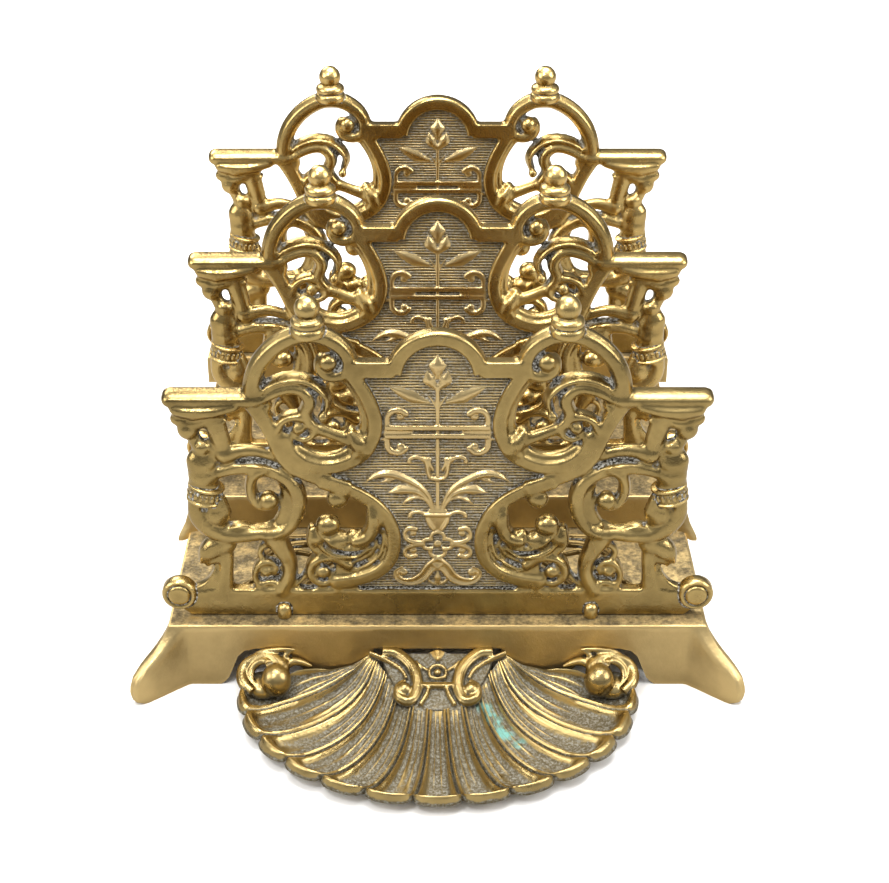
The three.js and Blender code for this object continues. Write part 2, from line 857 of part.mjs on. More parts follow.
// A point of the dish in plan: angle is 0 at the front and a quarter turn at each end.
function dishPlan(angle, along) {
  const phase = (angle * lobeCount) / Math.PI;
  const bulge = lobeBulge * Math.min(1, 2 * Math.abs(Math.cos(phase * Math.PI)));
  const rim = new THREE.Vector2(
    (dishHalfWidth + bulge) * Math.sin(angle),
    -dishSetback - (dishReach + bulge) * Math.cos(angle),
  );
  const front = Math.cos(angle) ** 3;
  const hub = new THREE.Vector2(hubHalfWidth * Math.sin(angle), -clearance - hubReach * front);
  const open = Math.min(1, 2 * Math.cos(angle));
  const [across, forward] = endBendShares.map(
    (share, axis) => THREE.MathUtils.lerp(share, fluteBendShares[axis], open),
  );
  const bend = new THREE.Vector2(
    THREE.MathUtils.lerp(hub.x, rim.x, across),
    THREE.MathUtils.lerp(hub.y, rim.y, forward),
  );
  const curve = new THREE.QuadraticBezierCurve(hub, bend, rim);
  return curve.getPoint(along);
}

// Height of the dish's upper face.
function dishTop(angle, row) {
  const front = Math.cos(angle) ** 2;
  const hubTop = THREE.MathUtils.lerp(wingTop, hubHeight, front);
  const floorTop = dishFloor + dishWall;
  const phase = (angle * lobeCount) / Math.PI;
  const trough = 1 - Math.abs(Math.sin(phase * Math.PI)) ** 3;
  const height = floorTop + row.hub * (hubTop - floorTop) + row.rim * (rimHeight - floorTop);
  return height + fluteDepth * row.flute * (fluteCrestShare - trough);
}

// The fluted bowl with its lobed, rolled rim.
function bowl() {
  const columns = lobeCount * samplesPerLobe;
  const rings = [];
  for (let column = 0; column <= columns; column += 1) {
    const angle = (column / columns - 0.5) * Math.PI;
    const ring = dishRowShares.map((row) => {
      const place = dishPlan(angle, row.along);
      return new THREE.Vector3(place.x, place.y, dishTop(angle, row));
    });
    const lip = dishPlan(angle, 1);
    ring.push(new THREE.Vector3(lip.x, lip.y, rimHeight - rimRoll));
    const under = dishPlan(angle, underShares[0]);
    ring.push(new THREE.Vector3(under.x, under.y, dishFloor + dishWall));
    const floor = dishPlan(angle, underShares[1]);
    ring.push(new THREE.Vector3(floor.x, floor.y, dishFloor));
    const root = dishPlan(angle, 0);
    ring.push(new THREE.Vector3(root.x, root.y, dishFloor + dishWall));
    rings.push(ring);
  }
  return stripLoft(rings);
}

// A loft whose two end rings are closed by a strip between their upper and lower rows.
function stripLoft(rings) {
  const geometry = loft(rings);
  const count = rings[0].length;
  const index = Array.from(geometry.index.array).slice(0, -2 * 3 * (count - 2));
  [0, (rings.length - 1) * count].forEach((start, end) => {
    let low = count - 1;
    let high = 0;
    while (low - high > 1) {
      const turn = high + 1 <= (count - 1) / 2;
      const third = turn ? high + 1 : low - 1;
      const face = [start + high, start + third, start + low];
      index.push(...(end ? face : face.reverse()));
      if (turn) high = third;
      else low = third;
    }
  });
  geometry.setIndex(index);
  return geometry;
}

// Half width of the lyre's ground at each share of the hub's reach
const lyreGroundShares = [[0, 0.8], [0.5, 0.68], [1, 0.32]];

// Height of the lyre's ground, which slopes from the apron down to the flutes.
function lyreSlope(y) {
  return THREE.MathUtils.lerp(lyreTop, hubHeight, -y / hubReach);
}

// Ground plate of the lyre.
function lyreGround() {
  const low = dishFloor + dishWall;
  return loft(lyreGroundShares.map(([reach, width]) => {
    const half = hubHalfWidth * width;
    const y = -clearance - reach * (hubReach - clearance);
    const top = lyreSlope(y);
    return [
      new THREE.Vector3(-half, y, low),
      new THREE.Vector3(half, y, low),
      new THREE.Vector3(half, y, top),
      new THREE.Vector3(-half, y, top),
    ];
  }));
}

// C scroll of the lyre, as shares of the hub's half width and reach
const lyreShares = [
  [0.8, -0.02], [0.56, -0.16], [0.36, -0.4], [0.3, -0.66], [0.4, -0.88], [0.52, -0.8],
  [0.56, -0.62],
];

// Swelling of the scroll from its root to its curl, its height, and how much of it is sunk
const lyreSwellShares = [1, 1, 1, 0.8, 0.8];
const lyreHeightShare = 0.55;
const lyreSunkShare = 0.6;

// A raised strand that follows the slope of the lyre's ground.
function lyreScroll() {
  const curve = new THREE.CatmullRomCurve3(lyreShares.map(([x, y]) => new THREE.Vector3(
    x * hubHalfWidth, y * hubReach, lyreSlope(y * hubReach),
  )));
  const steps = 8;
  const rings = [];
  for (let step = 0; step <= steps; step += 1) {
    const t = step / steps;
    const centre = curve.getPointAt(t);
    const along = curve.getTangentAt(t);
    const half = (lyreStrand / 2) * shareAt(lyreSwellShares, t);
    rings.push(strapSectionShares.map(([side, rise]) => new THREE.Vector3(
      centre.x + along.y * half * side,
      centre.y - along.x * half * side,
      centre.z + (rise - lyreSunkShare) * lyreStrand * lyreHeightShare,
    )));
  }
  return loft(rings);
}

// How far in front of the apron a volute's middle lies
const shellVoluteSetShare = 0.62;

// Rolled volute at one end of the shell.
function shellVolute() {
  const geometry = new THREE.SphereGeometry(shellVoluteRadius, 9, 6);
  const back = shellVoluteRadius * shellVoluteSetShare;
  return geometry.rotateX(Math.PI / 2)
    .translate(shellVoluteSpacing, -back, shellVoluteRadius);
}

// Where the tongue starts under the lyre, along the hub
const tongueStartShare = 0.3;

// The whole shell with its lyre, its volutes and the tongue that is screwed to the base.
function dish() {
  const tongueLow = tongueTop - tongueThickness;
  const tongueBack = dishScrewY + bossRadius + clearance;
  const tongue = block(
    [-tongueWidth / 2, -hubReach * tongueStartShare, tongueLow],
    [tongueWidth / 2, tongueBack, tongueTop],
  );
  const underApron = block(
    [-tongueWidth, -clearance, tongueTop],
    [tongueWidth, tongueBack, baseHeight],
  );
  const behind = block([tongueWidth / 2, -clearance, 0], [halfBase, tongueBack, tongueTop]);
  const scroll = lyreScroll();
  const body = join([
    bowl(),
    lyreGround(),
    scroll,
    mirrored(scroll),
    shellVolute(),
    mirrored(shellVolute()),
    tongue,
  ]);
  return cut(body, [
    underApron,
    behind,
    mirrored(behind),
    ...eachSide(dishScrewSpacing, (x) => post(
      x, dishScrewY, tongueLow - overrun, tongueTop + overrun, screwHole,
    )),
  ]);
}

// Fasteners

// Round-headed screw standing head down with its head's flat on z = 0.
function screw(grip) {
  const profile = [
    new THREE.Vector2(0, -headHeight),
    new THREE.Vector2(headRadius, -headHeight),
    new THREE.Vector2(headRadius, 0),
    new THREE.Vector2(screwRadius, 0),
    new THREE.Vector2(screwRadius, grip),
    new THREE.Vector2(0, grip),
  ];
  return solid(new THREE.LatheGeometry(profile, 6).rotateX(Math.PI / 2));
}

// Assembly

const rack = new THREE.Group();
rack.position.y = (dishSetback + dishReach + lobeBulge - baseDepth - toeReach) / 2;

// Adds a solid to the rack as a piece of its own.
function place(name, body, finish, x = 0, y = 0, z = 0) {
  const geometry = skin(body).toNonIndexed();
  geometry.computeVertexNormals();
  const mesh = new THREE.Mesh(geometry, new THREE.MeshStandardMaterial(finish));
  mesh.name = name;
  mesh.position.set(x, y, z);
  rack.add(mesh);
}

// Adds the left and right copies of a fastener.
function placePair(name, body, spacing, y, z) {
  place(`${name}_left`, body, brassScrew, -spacing / 2, y, z);
  place(`${name}_right`, body, brassScrew, spacing / 2, y, z);
}

place('base', base(), brassFront);
place('middle_step', middleStep(), brassRear);
place('rear_step', rearStep(), brassRear);
place('shell_dish', dish(), brassDark);

const scrollPanel = panel();
place('front_panel', scrollPanel, brassFront, 0, frontPanelY, baseHeight + clearance);
place('middle_panel', scrollPanel, brassRear, 0, middlePanelY, middleTop + clearance);
place('rear_panel', scrollPanel, brassRear, 0, rearPanelY, rearTop + clearance);

const plateScrew = screw(seat + screwGrip);
const dishScrew = screw(tongueThickness + 2 * clearance + screwGrip / 3);
placePair('front_panel_screw', plateScrew, panelScrewSpacing,
  frontPanelY, baseHeight - seat);
placePair('middle_panel_screw', plateScrew, panelScrewSpacing,
  middlePanelY, middleTop - seat);
placePair('rear_panel_screw', plateScrew, panelScrewSpacing,
  rearPanelY, rearTop - seat);
placePair('middle_step_screw', plateScrew, stepScrewSpacing, middleScrewY, baseHeight - seat);
placePair('rear_step_screw', plateScrew, stepScrewSpacing, rearScrewY, middleTop - seat);
placePair('dish_screw', dishScrew, dishScrewSpacing,
  dishScrewY, tongueTop - tongueThickness - clearance);

export default rack;
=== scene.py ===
"""Looks of the cast brass letter rack: scrollwork panels, a stepped base and a shell dish.

The rack's classes hold their sizes in millimetres, in the rack's own frame: x across, y back
from the front apron, z up from the floor. piece() brings a finished mesh to metres, in the frame
of the CAD model. Finishes, lamps and the floor have their few sizes in metres.
"""

import logging
import math
from dataclasses import dataclass, replace
from enum import Enum
from typing import Callable, Sequence

import bmesh
import bpy
import numpy as np
from mathutils import Matrix, Vector, noise
from mathutils.bvhtree import BVHTree


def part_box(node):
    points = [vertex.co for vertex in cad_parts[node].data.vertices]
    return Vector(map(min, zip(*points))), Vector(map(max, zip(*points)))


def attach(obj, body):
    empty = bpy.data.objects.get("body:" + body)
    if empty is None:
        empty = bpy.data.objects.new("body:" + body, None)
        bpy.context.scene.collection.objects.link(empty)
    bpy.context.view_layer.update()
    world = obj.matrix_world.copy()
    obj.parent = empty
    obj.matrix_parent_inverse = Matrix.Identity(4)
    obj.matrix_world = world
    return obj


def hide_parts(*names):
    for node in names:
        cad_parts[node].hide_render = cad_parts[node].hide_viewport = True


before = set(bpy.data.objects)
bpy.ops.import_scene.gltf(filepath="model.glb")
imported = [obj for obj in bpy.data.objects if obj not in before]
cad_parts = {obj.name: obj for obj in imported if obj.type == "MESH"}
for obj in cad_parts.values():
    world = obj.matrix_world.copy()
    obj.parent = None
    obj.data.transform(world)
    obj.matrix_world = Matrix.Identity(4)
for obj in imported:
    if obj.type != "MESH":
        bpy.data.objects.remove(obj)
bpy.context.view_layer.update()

log = logging.getLogger("letter_rack")

# One millimetre in metres
MM = 0.001
# How far a foot's toe leans out past the apron
TOE_REACH = 13.0
# Where the front apron is in the CAD model's frame
APRON_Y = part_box("base")[0].y / MM + TOE_REACH
# Width of the camera's sensor
SENSOR_WIDTH = 36.0
# Points nearer to each other than this become one
WELD = 0.01
# Angles at which the rounded end of a strand has its rings, in radians
CAP_TURNS = (0.5, 1.0, 1.4)
# Below this share of its width a strand gets no shallower
THINNEST = 0.15
# The turn from one ray to the next that spreads them evenly
GOLDEN_ANGLE = math.pi * (3 - math.sqrt(5))

Path = Sequence[Sequence[float]]
Station = tuple[np.ndarray, np.ndarray, float, float]


class Section(Enum):
    """Cross sections of a cast strand: across as a share of half its width, then forward as a
    share of its depth."""

    STRAP = ((-1, 0), (1, 0), (1, 0.7), (0.9, 0.92), (0.7, 1), (-0.7, 1), (-0.9, 0.92), (-1, 0.7))
    STEPPED = (
        (-1, 0), (1, 0), (1, 0.6), (0.8, 0.66), (0.7, 0.9), (0.4, 1.04),
        (-0.4, 1.04), (-0.7, 0.9), (-0.8, 0.66), (-1, 0.6),
    )
    ROUND = (
        (-1, 0), (1, 0), (1, 0.4), (0.85, 0.72), (0.5, 0.94), (0, 1),
        (-0.5, 0.94), (-0.85, 0.72), (-1, 0.4),
    )
    RIDGE = ((-1, 0), (1, 0), (0.75, 0.5), (0.3, 0.92), (0, 1.05), (-0.3, 0.92), (-0.75, 0.5))
    FURROW = (
        (-1, 0), (1, 0), (1, 0.62), (0.84, 0.95), (0.6, 1), (0.28, 0.72),
        (-0.28, 0.72), (-0.6, 1), (-0.84, 0.95), (-1, 0.62),
    )
    LIMB = tuple(
        (round(math.cos(turn * math.pi / 6), 4), round(math.sin(turn * math.pi / 6) / 2, 4))
        for turn in range(12)
    )


@dataclass(frozen=True)
class Stroke:
    """One strand of ornament, drawn through points across and up, and forward if a third is
    given."""

    points: Path
    width: float
    swell: tuple[float, ...] = (1.0, 1.0)
    section: Section = Section.ROUND
    depth: float = 4.6
    blunt: bool = True


@dataclass(frozen=True)
class Ball:
    """A ball or an egg: its centre across, up and forward, and its radii in the same order."""

    centre: tuple[float, float, float]
    radii: tuple[float, float, float]


def egg(x: float, up: float, radius: float, forward: float = 0.0) -> Ball:
    """A round ball."""
    return Ball((x, up, forward), (radius, radius, radius))


STRAP, STEPPED, ROUND = Section.STRAP, Section.STEPPED, Section.ROUND
RIDGE, FURROW, LIMB = Section.RIDGE, Section.FURROW, Section.LIMB


class Curve:
    """A smooth curve through points, sampled at even steps along its length.

    Its length is measured in steps from one point to the next.
    """

    steps = 13

    def __init__(self, points: Path, spacing: float) -> None:
        """Samples the curve.

        Args:
            points: two or three coordinates each.
            spacing: length between samples.
        """
        rows = [tuple(p) + (0.0,) * (3 - len(p)) for p in points]
        given = np.array(rows, float)
        ends = np.vstack([2 * given[0] - given[1], given, 2 * given[-1] - given[-2]])
        dense = [given[0]]
        for a, b, c, d in zip(ends, ends[1:], ends[2:], ends[3:]):
            for t in np.linspace(0, 1, self.steps)[1:]:
                dense.append(0.5 * (
                    2 * b + (c - a) * t + (2 * a - 5 * b + 4 * c - d) * t ** 2
                    + (3 * b - a - 3 * c + d) * t ** 3
                ))
        line = np.array(dense)
        reach = np.concatenate([[0], np.cumsum(np.linalg.norm(np.diff(line, axis=0), axis=1))])
        count = max(3, int(round(reach[-1] / spacing)) + 1)
        self.shares = np.linspace(0, 1, count)
        even = self.shares * reach[-1]
        self.points = np.column_stack([np.interp(even, reach, line[:, k]) for k in range(3)])
        slope = np.gradient(self.points, axis=0)
        self.tangents = slope / np.linalg.norm(slope, axis=1)[:, None]


def swelling(shares: Sequence[float], t: float) -> float:
    """A value at t, from 0 to 1, read off a row of evenly spaced shares."""
    return float(np.interp(t, np.linspace(0, 1, len(shares)), shares))


def reading(table: Path, value: float) -> float:
    """What a table of pairs says for a value, in a straight line between its rows."""
    return float(np.interp(value, *zip(*table)))


def ease(share: float) -> float:
    """A share from 0 to 1 that starts and ends gently."""
    return share * share * (3 - 2 * share)


def ring_at(side: Vector, over: Vector, ahead: Vector, place: Sequence[float]) -> Matrix:
    """The matrix that carries a section to its ring.

    Args:
        side: across the strand, as long as half its width.
        over: out of it, as long as its depth.
        ahead: along it.
        place: where the ring is.

    Returns:
        The matrix.
    """
    ring = Matrix((side, over, ahead)).transposed().to_4x4()
    ring.translation = place
    return ring


def grow(bm: bmesh.types.BMesh, edges: list) -> tuple[list, list]:
    """Extrudes a loop of edges.

    Args:
        bm: the mesh in the making.
        edges: the loop.

    Returns:
        The points and the edges of the new loop.
    """
    grown = bmesh.ops.extrude_edge_only(bm, edges=edges)["geom"]
    fresh = [g for g in grown if isinstance(g, bmesh.types.BMVert)]
    known = set(fresh)
    loop = [g for g in grown if isinstance(g, bmesh.types.BMEdge) and known.issuperset(g.verts)]
    return fresh, loop


class Work:
    """A mesh in the making, in millimetres, shaped with mesh operators."""

    def __init__(self) -> None:
        """Starts with nothing."""
        self.bm = bmesh.new()

    def sweep(self, rings: Sequence[Matrix], outline: Path) -> None:
        """A closed strand: the outline is carried from ring to ring and capped at both ends.

        Args:
            rings: one matrix for each ring, from the outline's plane to its place.
            outline: points of the section.
        """
        verts = [self.bm.verts.new(rings[0] @ Vector((a, b, 0))) for a, b in outline]
        edges = [self.bm.edges.new((v, verts[i - 1])) for i, v in enumerate(verts)]
        bmesh.ops.contextual_create(self.bm, geom=edges)
        before = rings[0]
        for ring in rings[1:]:
            fresh, edges = grow(self.bm, edges)
            bmesh.ops.transform(self.bm, matrix=ring @ before.inverted(), verts=fresh)
            before = ring
        bmesh.ops.contextual_create(self.bm, geom=edges)

    def stroke(self, stroke: Stroke, back: float, spacing: float = 1.6) -> None:
        """A strand of ornament on an upright panel, whose front faces -y.

        Args:
            stroke: its path, section and swelling.
            back: where the panel's back face is in y.
            spacing: length between the rings.
        """
        curve = Curve(stroke.points, spacing)
        stations = [(p, t, s, 1.0) for p, t, s in zip(curve.points, curve.tangents, curve.shares)]
        if stroke.blunt:
            stations = self._blunted(stroke, stations)
        rings = []
        for point, along, share, close in stations:
            swell = swelling(stroke.swell, share) * close
            side = Vector((along[1], 0, -along[0])).normalized() * (stroke.width / 2 * swell)
            up = Vector((along[0], 0, along[1])).normalized()
            if stroke.section is Section.LIMB:
                place = Vector((point[0], -point[2], point[1]))
                deep = stroke.depth * swell
            else:
                place = Vector((point[0], back - point[2], point[1]))
                deep = stroke.depth * min(1.0, max(THINNEST, swell) ** 0.5)
            rings.append(ring_at(side, Vector((0, -deep, 0)), up, place))
        self.sweep(rings, stroke.section.value)

    def _blunted(self, stroke: Stroke, stations: list[Station]) -> list[Station]:
        """Rounds both ends of a strand off.

        Args:
            stroke: the strand.
            stations: its points with their direction, share of the length and openness.

        Returns:
            The stations, with a few more before and behind them that close up.
        """
        caps = []
        for station, way, swell in (
            (stations[0], -1, stroke.swell[0]), (stations[-1], 1, stroke.swell[-1]),
        ):
            point, along, share, _ = station
            beyond = way * along * (stroke.width / 2) * swell
            caps.append([
                (point + beyond * math.sin(turn), along, share, math.cos(turn))
                for turn in CAP_TURNS
            ])
        before, after = caps
        return before[::-1] + stations + after

    def flat_stroke(
        self, stroke: Stroke, height: Callable[[float, float], float], sunk: float = 0.8,
        spacing: float = 0.9,
    ) -> None:
        """A strand of ornament on a face seen from above.

        Args:
            stroke: its path across and back, its section and swelling.
            height: height of the face at a point.
            sunk: how much of the strand's depth is below the face.
            spacing: length between the rings.
        """
        curve = Curve(stroke.points, spacing)
        rings = []
        for point, along, share in zip(curve.points, curve.tangents, curve.shares):
            size = swelling(stroke.swell, share) * stroke.width / 2
            side = Vector((along[1], -along[0], 0)) * size
            ahead = Vector((along[0], along[1], 0))
            place = (point[0], point[1], height(point[0], point[1]) - sunk)
            rings.append(ring_at(side, Vector((0, 0, stroke.depth)), ahead, place))
        self.sweep(rings, stroke.section.value)

    def band(self, stroke: Stroke, spacing: float = 0.9) -> None:
        """A round strand in space, whose section and depth don't count.

        Args:
            stroke: its path across, back and up, its width and swelling.
            spacing: length between the rings.
        """
        curve = Curve(stroke.points, spacing)
        rings = []
        for point, along, share in zip(curve.points, curve.tangents, curve.shares):
            size = stroke.width / 2 * swelling(stroke.swell, share)
            ahead = Vector(along)
            side = ahead.cross(Vector((0, 0, 1))).normalized()
            over = side.cross(ahead)
            rings.append(ring_at(side * size, over * size * 2, ahead, point))
        self.sweep(rings, LIMB.value)

    def sphere(self, place: Matrix, segments: int, radius: float = 1.0) -> None:
        """A sphere, shaped and put in its place by a matrix.

        Args:
            place: from the sphere's frame to the rack's.
            segments: faces round it.
            radius: its radius before that.
        """
        bmesh.ops.create_uvsphere(
            self.bm, u_segments=segments, v_segments=max(6, segments * 2 // 3), radius=radius,
            matrix=place,
        )

    def ball(self, ball: Ball, segments: int = 20) -> None:
        """A ball or an egg.

        Args:
            ball: its centre and radii.
            segments: faces round it.
        """
        x, up, forward = ball.centre
        wide, high, deep = ball.radii
        place = Matrix.Translation((x, -forward, up)) @ Matrix.Diagonal((wide, deep, high, 1))
        self.sphere(place, segments)

    def slab(self, outline: Path, front: float, back: float) -> None:
        """A flat shape between two depths.

        Args:
            outline: its points in x and z.
            front: y of its front face.
            back: y of its back face.
        """
        verts = [self.bm.verts.new((p[0], back, p[1])) for p in outline]
        face = self.bm.faces.new(verts)
        grown = bmesh.ops.extrude_face_region(self.bm, geom=[face], use_keep_orig=True)["geom"]
        moved = [g for g in grown if isinstance(g, bmesh.types.BMVert)]
        bmesh.ops.translate(self.bm, vec=(0, front - back, 0), verts=moved)

    def turned(self, profile: Path, place: Matrix, steps: int = 40) -> None:
        """A turned form: radius and height pairs spun round z, then put in its place.

        Args:
            profile: radius and height pairs; the first and last are on the axis.
            place: from the turned form's frame to the rack's.
            steps: faces round the form.
        """
        verts = [self.bm.verts.new((r, 0, h)) for r, h in profile]
        edges = [self.bm.edges.new(pair) for pair in zip(verts, verts[1:])]
        bmesh.ops.spin(
            self.bm, geom=verts + edges, cent=(0, 0, 0), axis=(0, 0, 1), angle=2 * math.pi,
            steps=steps, use_merge=True,
        )
        form = set(verts)
        reach = list(verts)
        while reach:
            for edge in reach.pop().link_edges:
                for vert in edge.verts:
                    if vert not in form:
                        form.add(vert)
                        reach.append(vert)
        bmesh.ops.remove_doubles(self.bm, verts=list(form), dist=WELD)
        form = [v for v in form if v.is_valid]
        bmesh.ops.transform(self.bm, matrix=place, verts=form)

    def mirror(self) -> None:
        """Adds the same shape on the other side of the middle plane."""
        bmesh.ops.recalc_face_normals(self.bm, faces=self.bm.faces)
        whole = self.bm.verts[:] + self.bm.edges[:] + self.bm.faces[:]
        copy = bmesh.ops.duplicate(self.bm, geom=whole)["geom"]
        verts = [g for g in copy if isinstance(g, bmesh.types.BMVert)]
        faces = [g for g in copy if isinstance(g, bmesh.types.BMFace)]
        bmesh.ops.scale(self.bm, vec=(-1, 1, 1), verts=verts)
        bmesh.ops.reverse_faces(self.bm, faces=faces)

    def fuse(self, voxel: float, smoothing: int) -> "Work":
        """Runs the separate forms together, as a casting has them.

        Args:
            voxel: size of the finest detail that is kept.
            smoothing: how often the joined skin is smoothed.

        Returns:
            A new mesh in the making.
        """
        bmesh.ops.recalc_face_normals(self.bm, faces=self.bm.faces)
        rough = bpy.data.meshes.new("fusing")
        self.bm.to_mesh(rough)
        holder = bpy.data.objects.new("fusing", rough)
        bpy.context.scene.collection.objects.link(holder)
        remesh = holder.modifiers.new("fuse", "REMESH")
        remesh.mode = "VOXEL"
        remesh.voxel_size = voxel
        soften = holder.modifiers.new("soften", "SMOOTH")
        soften.factor = 0.5
        soften.iterations = smoothing
        depsgraph = bpy.context.evaluated_depsgraph_get()
        whole = Work()
        whole.bm.from_mesh(holder.evaluated_get(depsgraph).to_mesh())
        bpy.data.objects.remove(holder)
        bpy.data.meshes.remove(rough)
        self.bm.free()
        return whole

    def take(self, other: "Work") -> None:
        """Adds another mesh to this one.

        Args:
            other: the mesh to add.
        """
        spare = bpy.data.meshes.new("spare")
        other.bm.to_mesh(spare)
        self.bm.from_mesh(spare)
        bpy.data.meshes.remove(spare)

    def mesh(self, name: str, smooth_angle: float = 40.0) -> bpy.types.Mesh:
        """The finished mesh, in millimetres.

        Args:
            name: its name.
            smooth_angle: edges sharper than this stay sharp, in degrees.

        Returns:
            The mesh.
        """
        bmesh.ops.recalc_face_normals(self.bm, faces=self.bm.faces)
        if self.bm.calc_volume(signed=True) < 0:
            bmesh.ops.reverse_faces(self.bm, faces=self.bm.faces)
        for face in self.bm.faces:
            face.smooth = True
        for edge in self.bm.edges:
            edge.smooth = edge.calc_face_angle(0) < math.radians(smooth_angle)
        mesh = bpy.data.meshes.new(name)
        self.bm.to_mesh(mesh)
        self.bm.free()
        return mesh


@dataclass(frozen=True)
class Patina:
    """How open each point of a casting is to wear and to shade: written on its mesh as the
    attributes recess, 0 on a free surface and 1 in a deep corner, which the finishes darken with
    grime and painted shade, and crest, 0 to 1 on worn edges.

    Corners are looked for within reach, with a number of rays that start at lift off the
    surface. Up to as many points as turns have their rays at different angles, each a turn
    further round. gain says how much corners count, and hollow how much a mesh's own attribute
    hollow adds. A point that stands out by full_crest is all crest.
    """

    reach: float = 7.0
    rays: int = 12
    gain: float = 1.0
    hollow: float = 0.0
    lift: float = 0.12
    turns: int = 7
    turn: float = 0.37
    full_crest: float = 0.5
    recess_passes: int = 2
    crest_passes: int = 6

    def write(self, mesh: bpy.types.Mesh, round_it: Sequence[bpy.types.Mesh] = ()) -> None:
        """Writes both attributes.

        Args:
            mesh: the mesh to write on.
            round_it: other meshes that shade it.
        """
        recess = self._recess(mesh, [mesh, *round_it])
        if "hollow" in mesh.attributes:
            hollow = np.zeros(len(recess))
            mesh.attributes["hollow"].data.foreach_get("value", hollow)
            recess += self.hollow * hollow
        log.info("%s recess: %s", mesh.name, np.percentile(recess, (10, 50, 90)).round(2))
        self._store(mesh, "recess", recess)
        self._store(mesh, "crest", self._crest(mesh))

    def _store(self, mesh: bpy.types.Mesh, name: str, values: np.ndarray) -> None:
        """Stores one value for each point."""
        layer = mesh.attributes.new(name, "FLOAT", "POINT")
        layer.data.foreach_set("value", values.astype(np.float32))

    def _recess(self, mesh: bpy.types.Mesh, solids: Sequence[bpy.types.Mesh]) -> np.ndarray:
        """Share of rays from each point that meet a casting again soon.

        Args:
            mesh: the mesh whose points are looked at.
            solids: what the rays can meet.

        Returns:
            One value for each point.
        """
        trees = []
        for solid in solids:
            points = [v.co.copy() for v in solid.vertices]
            trees.append(BVHTree.FromPolygons(points, [tuple(p.vertices) for p in solid.polygons]))
        found = np.zeros(len(mesh.vertices))
        tilts = [math.asin(math.sqrt((k + 0.5) / self.rays)) for k in range(self.rays)]
        for vert in mesh.vertices:
            normal = vert.normal
            side = normal.orthogonal().normalized()
            other = normal.cross(side)
            origin = vert.co + normal * self.lift
            total = 0.0
            for k, tilt in enumerate(tilts):
                turn = (k + self.turn * (vert.index % self.turns)) * GOLDEN_ANGLE
                flat = side * math.cos(turn) + other * math.sin(turn)
                ray = normal * math.cos(tilt) + flat * math.sin(tilt)
                near = self.reach
                for tree in trees:
                    hit = tree.ray_cast(origin, ray, near)
                    if hit[3] is not None:
                        near = hit[3]
                total += 1 - near / self.reach
            found[vert.index] = total / self.rays * self.gain
        return self._spread(mesh, found, self.recess_passes)

    def _crest(self, mesh: bpy.types.Mesh) -> np.ndarray:
        """How far each point stands out from its smoothed surroundings.

        Args:
            mesh: the mesh whose points are looked at.

        Returns:
            One value for each point, up to 1.
        """
        count = len(mesh.vertices)
        points = np.zeros(count * 3)
        normals = np.zeros(count * 3)
        mesh.vertices.foreach_get("co", points)
        mesh.vertices.foreach_get("normal", normals)
        points = points.reshape(-1, 3)
        soft = points.copy()
        for axis in range(3):
            soft[:, axis] = self._spread(mesh, points[:, axis], self.crest_passes)
        out = ((points - soft) * normals.reshape(-1, 3)).sum(1)
        return np.clip(out / self.full_crest, 0, 1)

    def _spread(self, mesh: bpy.types.Mesh, values: np.ndarray, times: int) -> np.ndarray:
        """Averages values with those next to them.

        Args:
            mesh: the mesh that the values are on.
            values: one value for each point.
            times: how often they are averaged.

        Returns:
            The smoother values.
        """
        pairs = np.zeros(len(mesh.edges) * 2, np.int64)
        mesh.edges.foreach_get("vertices", pairs)
        a, b = pairs[0::2], pairs[1::2]
        size = len(values)
        links = np.bincount(a, minlength=size) + np.bincount(b, minlength=size)
        for _ in range(times):
            total = np.bincount(a, values[b], size) + np.bincount(b, values[a], size)
            values = 0.5 * values + 0.5 * total / np.maximum(links, 1)
        return values


def piece(
    mesh: bpy.types.Mesh, name: str, node: str, material: bpy.types.Material,
    place: Matrix = Matrix(),
) -> bpy.types.Object:
    """Puts a finished mesh into the scene as a piece of the rack.

    Args:
        mesh: the mesh in millimetres.
        name: name of the piece.
        node: the solid that the piece stands for.
        material: its finish.
        place: where it goes, in the rack's frame.

    Returns:
        The piece.
    """
    own = mesh.copy()
    own.name = name
    own.transform(Matrix.Scale(MM, 4) @ Matrix.Translation((0, APRON_Y, 0)) @ place)
    own.materials.clear()
    own.materials.append(material)
    made = bpy.data.objects.new(name, own)
    bpy.context.scene.collection.objects.link(made)
    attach(made, "root")
    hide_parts(node)
    log.info("%s: %d faces", name, len(own.polygons))
    return made


